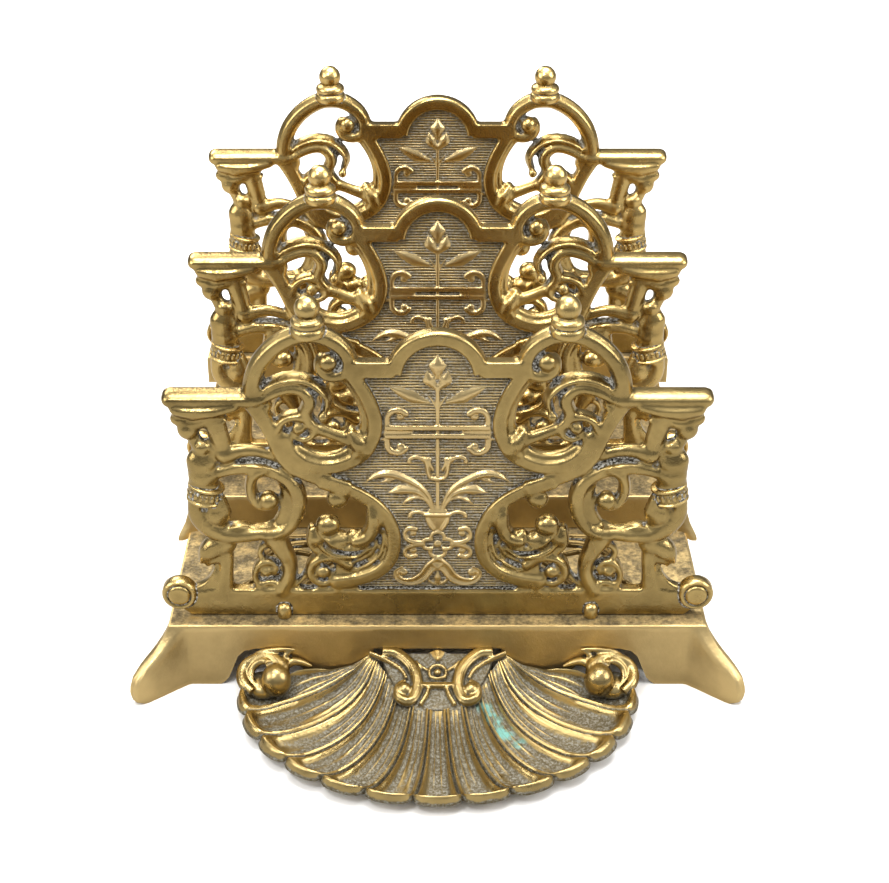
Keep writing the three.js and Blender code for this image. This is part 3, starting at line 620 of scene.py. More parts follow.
class Shader:
    """Builds a node tree from short calls."""

    mix_colours = (6, 7)
    mix_result = 2

    def __init__(self, tree: bpy.types.NodeTree) -> None:
        """Starts on an empty tree."""
        self.tree = tree
        tree.nodes.clear()

    def node(self, kind: str, inputs: dict | None = None, **settings: object) -> bpy.types.Node:
        """Adds a node.

        Args:
            kind: its type, without the ShaderNode in front.
            inputs: a value or an output socket for each named or numbered input.
            settings: properties of the node.

        Returns:
            The node.
        """
        made = self.tree.nodes.new("ShaderNode" + kind)
        for name, value in settings.items():
            setattr(made, name, value)
        for key, value in (inputs or {}).items():
            socket = made.inputs[key]
            if isinstance(value, bpy.types.NodeSocket):
                self.tree.links.new(value, socket)
            else:
                socket.default_value = value
        return made

    def maths(self, operation: str, *values: object, clamp: bool = False) -> bpy.types.NodeSocket:
        """The result of a Math node."""
        made = self.node("Math", dict(enumerate(values)), operation=operation, use_clamp=clamp)
        return made.outputs[0]

    def swing(
        self, noise_value: object, amount: float, base: object, clamp: bool = False,
    ) -> bpy.types.NodeSocket:
        """A base value that a noise moves up and down by half the amount."""
        centred = self.maths("SUBTRACT", noise_value, 0.5)
        return self.maths("MULTIPLY_ADD", centred, amount, base, clamp=clamp)

    def ramp(self, value: object, low: float, high: float) -> bpy.types.NodeSocket:
        """A value brought smoothly from low..high to 0..1."""
        inputs = {"Value": value, "From Min": low, "From Max": high}
        return self.node("MapRange", inputs, interpolation_type="SMOOTHSTEP").outputs[0]

    def mix(self, factor: object, a: object, b: object) -> bpy.types.NodeSocket:
        """The colour a at factor 0 and b at factor 1.

        Args:
            factor: share of b.
            a: one colour.
            b: the other colour.

        Returns:
            The mixed colour.
        """
        first, second = self.mix_colours
        made = self.node("Mix", {0: factor, first: a, second: b}, data_type="RGBA")
        return made.outputs[self.mix_result]

    def noise(
        self, vector: object, scale: float, detail: float = 3.0, roughness: float = 0.55,
    ) -> bpy.types.NodeSocket:
        """A noise value."""
        inputs = {"Vector": vector, "Scale": scale, "Detail": detail, "Roughness": roughness}
        return self.node("TexNoise", inputs).outputs[0]


Colour = tuple[float, float, float, float]


@dataclass(frozen=True)
class AgedBrass:
    """Finish of a cast brass piece with its patina.

    Its five colours go from the rubbed metal to what lies in the corners; the dark one is grime
    together with painted shade there. grime_and_shade, chalk and green say how much of the last
    three there is, sheen is the clean metal's roughness, and top_shade is painted shade on faces
    that look up, for the dark that they mirror, from the first value of level. stains are round
    spots of verdigris on the dish: across, back and radius in millimetres, fading between the
    shares of stain_edge. pit_depth and stain_height are in metres.
    """

    name: str
    bright: Colour = (0.56, 0.41, 0.165, 1)
    worn: Colour = (0.27, 0.192, 0.075, 1)
    dark: Colour = (0.030, 0.021, 0.009, 1)
    residue: Colour = (0.50, 0.49, 0.44, 1)
    verdigris: Colour = (0.16, 0.40, 0.36, 1)
    grime_and_shade: float = 1.0
    chalk: float = 1.0
    green: float = 0.0
    sheen: float = 0.30
    pit_strength: float = 0.6
    pit_depth: float = 0.0004
    # Painted shade on faces that look up
    top_shade: float = 0.0
    level: tuple[float, float] = (0.9, 0.99)
    stains: tuple[tuple[float, float, float], ...] = ()
    stain_height: float = 0.004
    stain_edge: tuple[float, float] = (1.3, 0.6)

    def material(self, group: bpy.types.NodeTree) -> bpy.types.Material:
        """The material of this finish.

        Args:
            group: the patina node group.

        Returns:
            The material.
        """
        made = bpy.data.materials.new(self.name)
        made.use_nodes = True
        tree = Shader(made.node_tree)
        place = tree.node("TexCoord").outputs["Object"]
        recess = tree.node("Attribute", attribute_name="recess").outputs["Fac"]
        crest = tree.node("Attribute", attribute_name="crest").outputs["Fac"]
        patina = tree.node("Group", node_tree=group)
        links = made.node_tree.links
        links.new(place, patina.inputs["Place"])
        # Faces that look up get painted shade: their recess is raised, so they darken as if they
        # mirrored dark.
        if self.top_shade:
            facing = tree.node("SeparateXYZ", {0: tree.node("NewGeometry").outputs["Normal"]})
            level = tree.ramp(facing.outputs["Z"], *self.level)
            recess = tree.maths("MULTIPLY_ADD", level, self.top_shade, recess)
        links.new(recess, patina.inputs["Recess"])
        links.new(crest, patina.inputs["Crest"])
        for socket, value in (
            ("Bright", self.bright), ("Worn", self.worn), ("Dark", self.dark),
            ("Residue", self.residue), ("Verdigris", self.verdigris), ("Grime And Shade", self.grime_and_shade),
            ("Chalk", self.chalk), ("Green", self.green), ("Sheen", self.sheen),
        ):
            patina.inputs[socket].default_value = value
        if self.stains:
            links.new(self._stained(tree, place), patina.inputs["Green"])
        bump = tree.node("Bump", {
            "Strength": self.pit_strength, "Distance": self.pit_depth,
            "Height": patina.outputs["Height"],
        })
        shader = tree.node("BsdfPrincipled", {
            "Base Color": patina.outputs["Color"],
            "Roughness": patina.outputs["Roughness"],
            "Metallic": patina.outputs["Metallic"],
            "Normal": bump.outputs["Normal"],
        })
        tree.node("OutputMaterial", {"Surface": shader.outputs[0]})
        return made

    def _stained(self, tree: Shader, place: bpy.types.NodeSocket) -> bpy.types.NodeSocket:
        """Where the verdigris is.

        Args:
            tree: the material's node tree.
            place: where a point of the surface is.

        Returns:
            How much verdigris a point has.
        """
        whole: object = 0.0
        outer, inner = self.stain_edge
        for x, y, radius in self.stains:
            spot = (x * MM, (APRON_Y + y) * MM, self.stain_height)
            away = tree.node("VectorMath", {0: place, 1: spot}, operation="DISTANCE")
            near = tree.ramp(away.outputs["Value"], radius * outer * MM, radius * inner * MM)
            whole = tree.maths("MAXIMUM", whole, near)
        return tree.maths("MULTIPLY", whole, self.green)


@dataclass(frozen=True)
class PatinaGroup:
    """The node group that every brass finish shares: wear, grime with painted shade in the
    corners, chalky residue and verdigris over the metal.

    Scales of noises are waves per metre. Over a range a value goes from none to all. The other
    numbers say how much a noise, a cover or the crest adds to a value.
    """

    colours: tuple[str, ...] = ("Bright", "Worn", "Dark", "Residue", "Verdigris")
    amounts: tuple[str, ...] = ("Recess", "Crest", "Grime And Shade", "Chalk", "Green", "Sheen")
    cloud_scale: float = 28
    blotch_scale: float = 160
    patch_scale: float = 240
    speck_scale: float = 900
    powder_scale: float = 1150
    grain_scale: float = 2600
    soot_and_shade_range: tuple[float, float] = (0.14, 0.44)
    powder_range: tuple[float, float] = (0.2, 0.42)
    powder_cover: tuple[float, float] = (0.42, 0.66)
    patch_range: tuple[float, float] = (0.06, 0.2)
    patch_cover: tuple[float, float] = (0.4, 0.56)
    blotch_recess: float = 0.5
    speck_recess: float = 0.25
    crest_recess: float = -0.3
    base_wear: float = 0.42
    cloud_wear: float = 1.6
    blotch_wear: float = 0.9
    crest_wear: float = 0.9
    soot_and_shade_rough: float = 0.34
    powder_rough: float = 0.3
    cloud_rough: float = 0.25
    powder_metal: float = -0.85
    patch_metal: float = -0.6
    soot_and_shade_metal: float = -0.35
    blotch_height: float = 0.9
    speck_height: float = 0.35
    grain_height: float = 0.12

    def build(self) -> bpy.types.NodeTree:
        """Makes the group.

        Returns:
            The node group.
        """
        tree = bpy.data.node_groups.new("brass_patina", "ShaderNodeTree")
        self._sockets(tree)
        shader = Shader(tree)
        given = tree.nodes.new("NodeGroupInput").outputs
        place = given["Place"]
        cloud = shader.noise(place, self.cloud_scale, 4, 0.6)
        blotch = shader.noise(place, self.blotch_scale, 4, 0.65)
        speck = shader.noise(place, self.speck_scale, 3, 0.6)
        grain = shader.noise(place, self.grain_scale, 2, 0.5)
        uneven = shader.swing(blotch, self.blotch_recess, given["Recess"])
        uneven = shader.swing(speck, self.speck_recess, uneven)
        uneven = shader.maths("MULTIPLY_ADD", given["Crest"], self.crest_recess, uneven)
        wear = shader.swing(cloud, self.cloud_wear, self.base_wear)
        wear = shader.swing(blotch, self.blotch_wear, wear)
        wear = shader.maths("MULTIPLY_ADD", given["Crest"], self.crest_wear, wear, clamp=True)
        # The dark colour gathers where rays from a point meet the casting again: grime in the
        # corners, and painted shade where those corners fall dark.
        soot_and_shade = shader.ramp(uneven, *self.soot_and_shade_range)
        soot_and_shade = shader.maths("MULTIPLY", soot_and_shade, given["Grime And Shade"], clamp=True)
        cover = shader.ramp(shader.noise(place, self.powder_scale, 4, 0.7), *self.powder_cover)
        powder = shader.maths("MULTIPLY", shader.ramp(uneven, *self.powder_range), cover)
        powder = shader.maths("MULTIPLY", powder, given["Chalk"], clamp=True)
        cover = shader.ramp(shader.noise(place, self.patch_scale, 3, 0.6), *self.patch_cover)
        patch = shader.maths("MULTIPLY", cover, shader.ramp(uneven, *self.patch_range))
        patch = shader.maths("MULTIPLY", patch, given["Green"], clamp=True)
        colour = shader.mix(wear, given["Worn"], given["Bright"])
        for cover, name in ((soot_and_shade, "Dark"), (powder, "Residue"), (patch, "Verdigris")):
            colour = shader.mix(cover, colour, given[name])
        rough = shader.maths("MULTIPLY_ADD", soot_and_shade, self.soot_and_shade_rough, given["Sheen"])
        rough = shader.maths("MULTIPLY_ADD", powder, self.powder_rough, rough)
        rough = shader.swing(cloud, self.cloud_rough, rough, clamp=True)
        metal = shader.maths("MULTIPLY_ADD", powder, self.powder_metal, 1.0)
        metal = shader.maths("MULTIPLY_ADD", patch, self.patch_metal, metal, clamp=True)
        metal = shader.maths("MULTIPLY_ADD", soot_and_shade, self.soot_and_shade_metal, metal, clamp=True)
        height = shader.maths("MULTIPLY", blotch, self.blotch_height)
        height = shader.maths("MULTIPLY_ADD", speck, self.speck_height, height)
        height = shader.maths("MULTIPLY_ADD", grain, self.grain_height, height)
        out = tree.nodes.new("NodeGroupOutput")
        for name, value in (
            ("Color", colour), ("Roughness", rough), ("Metallic", metal), ("Height", height),
        ):
            tree.links.new(value, out.inputs[name])
        return tree

    def _sockets(self, tree: bpy.types.NodeTree) -> None:
        """Gives the group its inputs and outputs.

        Args:
            tree: the node group.
        """
        face = tree.interface
        face.new_socket("Place", in_out="INPUT", socket_type="NodeSocketVector")
        for name in self.colours:
            face.new_socket(name, in_out="INPUT", socket_type="NodeSocketColor")
        for name in self.amounts:
            face.new_socket(name, in_out="INPUT", socket_type="NodeSocketFloat")
        face.new_socket("Color", in_out="OUTPUT", socket_type="NodeSocketColor")
        for name in ("Roughness", "Metallic", "Height"):
            face.new_socket(name, in_out="OUTPUT", socket_type="NodeSocketFloat")


SCROLLS = (
    # Hoop under the finial, curling round its eye
    Stroke((
        (59.8, 84.5), (59.3, 91), (56.5, 97.8), (51, 103.8), (44, 107.4), (37, 107.2),
        (31.4, 103.9), (28.6, 99.6), (28.4, 96.2), (30.2, 93.6), (33.4, 92.7), (36.5, 93.7),
        (38, 96.4), (37.2, 98.8),
    ), 5.3, (1, 1, 1, 1, 1, 1, 1, 0.95, 0.9, 0.85, 0.8, 0.7, 0.55), STEPPED, 5.0),
    # Upper C and the lip inside it
    Stroke((
        (28, 95), (24.2, 88.5), (21.4, 82), (20.2, 76), (21.2, 70), (24.4, 64.4), (30, 60.7),
        (36.4, 59.2), (43, 60.6), (48, 64.6), (50.6, 70.6),
    ), 4.2, section=STRAP, depth=4.9),
    Stroke((
        (29.8, 91.6), (26.6, 86.4), (24.6, 81), (24.1, 76), (25, 70.8), (27.8, 66.4),
        (32, 63.6), (36.8, 62.6), (42, 63.8), (46.2, 66.8),
    ), 2.3, section=ROUND, depth=3.6),
    # Long sweep from the shelf to the keyhole boss
    Stroke((
        (60.4, 84.2), (57, 78.4), (54.2, 72), (52, 66), (49, 60.4), (44, 56.8), (38.5, 54.4),
        (33, 52.6),
    ), 4.4, (1.15, 1.1, 1, 0.95, 0.95, 0.95, 1), STRAP, 4.9),
    # Pair of strands from the shelf that close on the bead
    Stroke((
        (58.6, 85.6), (54, 89.6), (48, 91.7), (42.4, 91.2), (38, 88.2), (35.6, 84), (36.8, 79.6),
    ), 3.6, (0.8, 1, 1.1, 1, 0.7), RIDGE, 5.0),
    Stroke((
        (57, 84.2), (51.5, 87.6), (46, 88.7), (42.6, 86.8), (41.4, 83.4), (42.8, 79.4),
        (41.4, 75.4),
    ), 3.7, (0.8, 1, 1, 1.1, 1.1, 0.9), ROUND, 5.4),
    Stroke(((55.4, 82), (56.6, 77.6), (53.6, 73.4)), 3.0, (1.1, 0.9, 1), ROUND, 4.4),
    # Middle volute with its arm and the paw on the upper C
    Stroke((
        (52.4, 73.4), (50.3, 76.8), (46.4, 78.4), (42.3, 77.4), (39.9, 74.6), (40.4, 71.6),
        (43.2, 69.8), (46.2, 70.3), (47.9, 72.3),
    ), 2.8, (1.2, 1, 1, 1, 0.95, 0.85, 0.75, 0.6), ROUND, 5.2),
    Stroke(((40.4, 73.8), (34, 71.2), (28.4, 69.2), (26, 68.4)), 4.3, (1, 0.85, 0.95, 1.2),
           LIMB, 4.4),
    Stroke(((28, 72), (26, 68.8), (24.5, 65.4)), 5.4, (0.6, 1.05, 0.85), ROUND, 6.4),
    # Band that carries the keyhole boss
    Stroke(((29.4, 50.9), (34, 52.6), (38.8, 54.4)), 5.2, section=STRAP, blunt=False, depth=5.3),
    # Lower C with its inner lips
    Stroke((
        (37.6, 53.6), (34, 52.2), (28.3, 50), (22.2, 46), (17.8, 40.8), (15.1, 34.4), (14.7, 28),
        (16.4, 22), (21, 17.1), (27.4, 14.4), (35, 13.1),
    ), 4.1, section=STRAP, depth=4.9),
    Stroke(((20.8, 40.4), (18.6, 34), (18.4, 28.4), (19.8, 24), (23.6, 20.2), (29, 17.8),
            (36, 16.6)), 1.5, (0.7, 1, 1, 1, 1, 0.8), ROUND, 3.9),
    Stroke(((21.4, 34), (20.8, 28.6), (22.3, 24.8), (26, 22), (31.5, 19.9), (35.5, 19.6)), 1.7,
           (0.5, 1, 1, 1, 0.6), ROUND, 3.1),
    # Lower volute on the rail, with its heel
    Stroke((
        (30.5, 20.5), (34.4, 23), (39, 23.2), (42.6, 20.8), (43.5, 16.8), (41.4, 13.2),
        (37.8, 12.6), (36.2, 15.4),
    ), 3.1, (1.2, 1.2, 1, 1, 1, 0.8, 0.6), ROUND, 5.2),
    Stroke(((31.2, 8.5), (31.4, 13.5), (32.6, 20)), 7.0, (1.1, 1.0, 0.6), STRAP, 4.0),
    Stroke(((43.8, 18), (46.6, 13.6), (50.8, 10.2)), 2.0, (1.2, 0.9, 1), ROUND, 3.8),
    # Acanthus spray inside the lower C
    Stroke(((22.6, 45.6, 0.6), (21.6, 40.6, 1), (21.8, 35.6, 1), (24, 32, 1), (27.6, 30.8, 1)),
           4.4, (0.5, 0.95, 1.1, 1.05, 0.95), ROUND, 5.8),
    Stroke(((39.5, 34), (35.4, 29.6), (30.4, 27.8), (25, 28.6), (20.6, 32.6)), 3.9,
           (0.9, 1.1, 1.1, 0.95, 0.35), RIDGE, 6.0),
    Stroke(((41, 31.4), (38.4, 26.9), (34, 24.6), (28, 24), (22.2, 27)), 3.6,
           (0.9, 1.05, 1, 0.9, 0.3), RIDGE, 5.2),
    Stroke(((42.4, 34.4), (43.2, 29.6), (41.4, 26.2), (37.6, 23.8)), 2.6, (1, 1, 1, 0.8), ROUND,
           4.6),
    # Side scroll, the curl inside it and the ribs of the skirt
    Stroke((
        (72.5, 57), (67, 58.6), (61, 58.6), (55, 57.4), (50.2, 54.6), (47.3, 50), (46.6, 44),
        (48.2, 38.4), (51.4, 34), (55.5, 31.4),
    ), 4.6, (0.9, 1, 1, 1, 1.05, 1.1, 1.1, 1, 0.95), ROUND, 5.2),
    Stroke(((57.2, 58.4), (60.7, 56.2), (62.2, 52), (61.8, 47.8), (59.8, 44.4), (56.8, 43.2)),
           3.4, (1.3, 1.1, 1, 1, 0.9, 0.7), ROUND, 5.6),
    Stroke(((52.4, 54.2), (50, 50), (49.6, 44.6), (51.2, 39.4), (54.6, 35.4)), 5.0,
           (0.6, 1, 1.2, 1, 0.6), ROUND, 3.8),
    Stroke(((49.4, 36.6), (54.6, 33.2), (61.5, 32.2)), 7.2, (0.45, 1, 0.6), RIDGE, 6.0),
    Stroke(((68, 60.3), (61, 60.6, 0.2), (55.5, 59.6, 0.2), (50.8, 56.6)), 1.9, (0.6, 1, 1, 0.6),
           RIDGE, 5.6),
    # Hoofed leg down to the rail, with its curl
    Stroke(((55, 31), (52.8, 26), (50.9, 21.4), (50.6, 17.3), (51.6, 13.8), (53.6, 10)), 5.0,
           (1.5, 1.15, 0.95, 0.9, 0.95, 1), ROUND, 5.6),
    Stroke(((61, 10.5), (62.6, 15), (61.3, 19.7), (57.7, 21.3), (55.1, 19.2), (55.7, 16.4)), 2.2,
           (1.1, 1, 1, 1, 0.9, 0.8), ROUND, 4.4),
    Stroke(((61.6, 11.2), (57.2, 12.6), (53.4, 11.2)), 2.6, (0.9, 1, 1), ROUND, 4.0),
    Stroke(((57.5, 28.6), (60.6, 25.2), (59.4, 21.4)), 2.4, (1, 0.8, 0.9), ROUND, 3.8),
    # Upright, the bracket down to the roller and the hooked bird's head
    Stroke(((71.8, 32), (71.7, 24), (72.3, 17), (73.8, 8.5)), 3.8, (0.95, 0.95, 1.05, 1.6),
           STRAP),
    Stroke(((74.6, 20.6), (75.9, 14.6), (79.4, 10.4), (85, 7.6)), 3.4, (0.5, 1.1, 1.2, 1.3),
           STRAP, 4.0),
    Stroke(((71.6, 28.2), (75, 27.2), (78.3, 24.6), (80.8, 20.4)), 6.2, (1, 1.15, 0.9, 0.3),
           ROUND, 5.2),
    Stroke(((73.4, 22.6), (76.6, 21.8), (78.7, 19.2)), 2.8, (1.1, 1, 0.5), ROUND, 4.2),
)

FIGURE = (
    # Legs folded under the side scroll
    Stroke((
        (81, 45), (80.3, 39.6), (76.6, 35), (71.4, 32.4), (65.4, 32.3), (58.4, 33),
    ), 5.0, (0.9, 1.15, 1.25, 1.05, 1, 0.9), ROUND, 5.6),
    Stroke(((74.4, 45.4), (73.6, 41), (73.6, 36.2)), 6.6, (1, 1.15, 0.75), LIMB, 6.0),
    Stroke(((71.5, 34.4), (67.4, 35.4), (62.4, 34.6)), 2.4, (0.8, 1, 0.6), ROUND, 4.8),
    # Upper arm, elbow and forearm
    Stroke(((73.4, 81), (72.6, 76), (71.4, 70.4), (70, 64.6)), 5.4, (0.9, 1.1, 1.05, 0.85), LIMB,
           5.4),
    Stroke(((70, 63, 0.4), (65.5, 65, 0.5), (60.4, 65.2, 0.3), (55, 63.4), (51.4, 60.8, -0.4)),
           4.3, (1.1, 1, 0.85, 0.8, 0.7), LIMB, 4.4),
    Stroke(((73, 66), (77.4, 63.8), (80.4, 59.2)), 4.4, (0.8, 1.1, 0.9), LIMB, 4.8),
    Stroke(((80.8, 73.5), (79.4, 69), (77.8, 65.4)), 4.0, (1.1, 0.95, 1), LIMB, 4.4),
    # Rolled hair and the cushion that carries the shelf
    Stroke(((84.8, 77.2), (79.2, 76), (73, 78.2), (68.6, 81)), 4.2, (0.9, 1.15, 1, 0.6), LIMB, 6.0),
    Stroke(((84.8, 81.6), (78, 80.8), (71, 81.4), (65.5, 82.6)), 4.0, (0.9, 1.1, 1, 0.8),
           STEPPED, 6.6),
    Stroke(((85.2, 79.8, 0.6), (79, 79, 1), (72.5, 80.2, 0.8), (67.5, 82.4, 0.2)), 1.5,
           (0.7, 1, 0.9, 0.5), LIMB, 6.6),
    Stroke(((76.6, 77.4), (72.8, 74.8), (69, 76.8)), 2.2, (0.7, 1, 0.6), ROUND, 5.2),
)

BALLS = (
    egg(34.9, 98.1, 3.2, 0.5), egg(45.2, 74.1, 2.3, 1.0), egg(37.2, 78.3, 1.8, 1.1),
    Ball((33.4, 46.8, 0.2), (3.9, 3.9, 3.3)), egg(39.1, 17.6, 2.6, 0.8),
    egg(56.4, 46.2, 3.5, 0.9), egg(28.5, 32.4, 2.2, 0.7), egg(58.6, 17.6, 2.2, 0.6),
    egg(81.3, 73.4, 3.8), egg(70.4, 63.9, 3.2), Ball((77.2, 66.8, 0.6), (3.2, 3, 3)),
    Ball((36.9, 36.4, 0.5), (4.3, 3.8, 3.8)), Ball((40.8, 31.2, 0.2), (3.6, 3.2, 3)),
    Ball((33.8, 30, 0.2), (4.6, 3.6, 3.6)),
    Ball((74, 40.6, 0), (4.2, 4.6, 3.7)), Ball((77.5, 55.8, 0.4), (5.2, 5, 4.1)),
    Ball((78.4, 61.4, 0.3), (4.6, 3.8, 3.6)), egg(26.8, 64.7, 1.5, 1.7),
    egg(24.7, 63.9, 1.5, 1.7), egg(22.9, 65.4, 1.4, 1.6), Ball((54.6, 33.4, 0.6), (4.4, 2.6, 3)),
)

RELIEF = (
    # Bud in the arch with its side buds, stem and leaves
    Stroke(((0, 92.4), (0, 96), (0, 100.8)), 6.4, (0.3, 1.05, 0.08), RIDGE, 1.9),
    Stroke(((0.7, 88.8), (2.6, 91.2), (3.4, 95)), 4.9, (0.6, 1.05, 0.15), RIDGE, 1.6),
    Stroke(((0, 41), (0, 60), (0, 89)), 1.35, section=ROUND, depth=1.3),
    Stroke(((0.3, 80.8), (1.8, 84), (4.4, 87.2)), 1.0, (1, 0.8, 0.5), ROUND, 1.0),
    Stroke(((3.6, 83.4), (7.6, 84.8), (12, 87), (16.6, 89.2)), 5.2, (0.5, 1.05, 0.8, 0.08), RIDGE,
           1.4),
    # Double bar with its scrolls
    Stroke(((0, 74), (8, 74), (16.8, 74.1)), 1.7, section=STRAP, depth=1.7),
    Stroke(((0, 70.9), (8, 70.9), (16.8, 70.8)), 1.6, section=STRAP, depth=1.7),
    Stroke(((9.8, 72.5), (16.6, 72.5)), 3.8, section=STRAP, depth=1.5),
    Stroke(((16, 74.8), (21.6, 75.3)), 1.5, section=ROUND, depth=1.4),
    Stroke(((16, 70), (21.6, 69.4)), 1.5, section=ROUND, depth=1.4),
    Stroke(((16.2, 73.5), (16.6, 77.2), (15, 79.9), (12.2, 80.3), (10.3, 79)), 2.3,
           (0.8, 0.95, 1, 1, 0.9), ROUND, 1.7),
    Stroke(((16.2, 71.8), (16.6, 67.2), (14.9, 64.8), (12.2, 64.5), (10.4, 66)), 2.3,
           (0.8, 0.95, 1, 1, 0.9), ROUND, 1.7),
    # Tulip on its stem
    Stroke(((0, 54.2), (2.3, 54.8), (3.2, 57.2), (3.5, 59.4), (4.1, 62)), 1.9,
           (1.1, 1.15, 1, 1.05, 1.1), RIDGE, 1.7),
    Stroke(((1.5, 57.6), (2.7, 60.2), (3, 61.6)), 1.3, (0.7, 1, 1), ROUND, 1.5),
    Stroke(((4, 60.6), (5.6, 62.2), (7.6, 62.7), (9.2, 61.8), (9.3, 60.6)), 1.5,
           (0.8, 1, 1.1, 1, 1), ROUND, 1.4),
    # Acanthus leaves
    Stroke(((1.4, 42), (2.8, 47), (6, 51.4), (10.6, 54.2), (15, 56), (19, 56), (22, 54.6),
            (24.6, 52.4)), 2.7, (0.5, 0.7, 0.85, 1.1, 1.3, 1.35, 1, 0.1), RIDGE, 1.8),
    Stroke(((13, 54.6), (16, 54), (19.4, 52.6)), 2.4, (0.5, 1.05, 0.2), RIDGE, 1.5),
    Stroke(((1.8, 42.6), (3.8, 46.6), (7.4, 49.6), (12, 50), (17, 48.6)), 3.9,
           (0.35, 0.6, 0.95, 1.2, 0.1), RIDGE, 1.9),
    Stroke(((2, 42.6), (4, 46), (7.4, 47.2), (10, 46), (11.6, 44.4)), 2.2,
           (0.6, 0.75, 0.85, 1.1, 0.4), RIDGE, 1.7),
    # Vase with its arms
    Stroke(((0, 33.6), (0, 36.2), (0, 38.6), (0, 40.2)), 6.6, (0.4, 0.6, 0.8, 1.0), STRAP, 1.5),
    Stroke(((1.6, 34.6), (2.9, 37), (3.8, 40)), 1.4, (0.9, 1.1, 0.8), ROUND, 1.9),
    Stroke(((0, 40.4), (2.2, 40.4), (4.2, 40.5)), 1.5, section=ROUND, depth=2.0),
    Stroke(((4.2, 40.7), (6.6, 41.4), (8.8, 40.8), (9.4, 39.6)), 1.4, (1, 1, 1, 1.1), ROUND, 1.6),
    # Rosette and the scrolls beside it
    Stroke(((0, 33.3), (1.8, 32.5), (2.3, 31)), 1.4, section=ROUND, depth=1.5),
    Stroke(((2.2, 30.3), (4.3, 30.1), (5.1, 28.4), (4.3, 26.7), (2.2, 26.5)), 1.5,
           section=ROUND, depth=1.5),
    Stroke(((0, 23), (2, 23.7), (2.6, 25.2), (2.1, 26.6)), 1.5, section=ROUND, depth=1.5),
    Stroke(((5, 28.8), (8.4, 29.2), (11, 30.9), (11.2, 33.3), (9.6, 34.8), (7.4, 34.4)), 1.8,
           (1, 1.1, 1, 1, 1, 0.9), ROUND, 1.6),
    Stroke(((5, 28.2), (8.4, 27.9), (11, 26.4), (11.1, 24.2), (9.5, 23.1), (7.4, 23.6)), 1.8,
           (1, 1.1, 1, 1, 1, 0.9), ROUND, 1.6),
    Stroke(((10.4, 31.6), (12.6, 31.4), (14.4, 30.2)), 1.4, (1, 0.8, 1), ROUND, 1.2),
    Stroke(((10.4, 26.2), (12.6, 26.2), (14.4, 26.8)), 1.4, (1, 0.8, 1), ROUND, 1.2),
    # Anthemion over the rail
    Stroke(((0, 21), (2.7, 18.7), (5.1, 15.2), (8, 13.3), (11.4, 13), (13.9, 14.6),
            (14.2, 17), (12.4, 18.2)), 3.7, (1.15, 1.05, 1, 0.95, 0.8, 0.6, 0.5, 0.5), FURROW, 1.8),
    Stroke(((0, 11.6), (0, 14.2), (0, 18)), 3.4, (0.6, 1, 0.25), RIDGE, 1.6),
    Stroke(((1, 11.8), (3, 13.2), (3.4, 15.6)), 1.2, (1, 1, 0.5), ROUND, 1.2),
)

RELIEF_BALLS = (
    egg(12.1, 78, 1.9, -0.8), egg(12.1, 66.6, 1.8, -0.8), egg(9.2, 60.7, 1.1, -0.5),
    egg(9.3, 39.6, 1.2, -0.4), egg(0, 28.3, 1.8, -0.8), egg(8.3, 32.6, 1.7, -0.8),
    egg(8.3, 25.6, 1.7, -0.8), egg(11.7, 16.6, 1.8, -0.7), egg(2.9, 61.6, 1.2, -0.3),
)

PLAQUE_EDGE = (
    (0, 9), (31, 11), (25, 15.4), (17.2, 20.4), (14.9, 27), (15, 34), (17.6, 41), (22, 46.4),
    (28, 50), (33, 52), (38, 54.7), (43, 58), (40, 60), (30, 60.6), (25, 64), (21.3, 70),
    (20.2, 76), (21.2, 82), (23.8, 88), (27, 93), (28, 98), (13.8, 98.5), (12.4, 102), (8, 106),
    (0, 108.2),
)


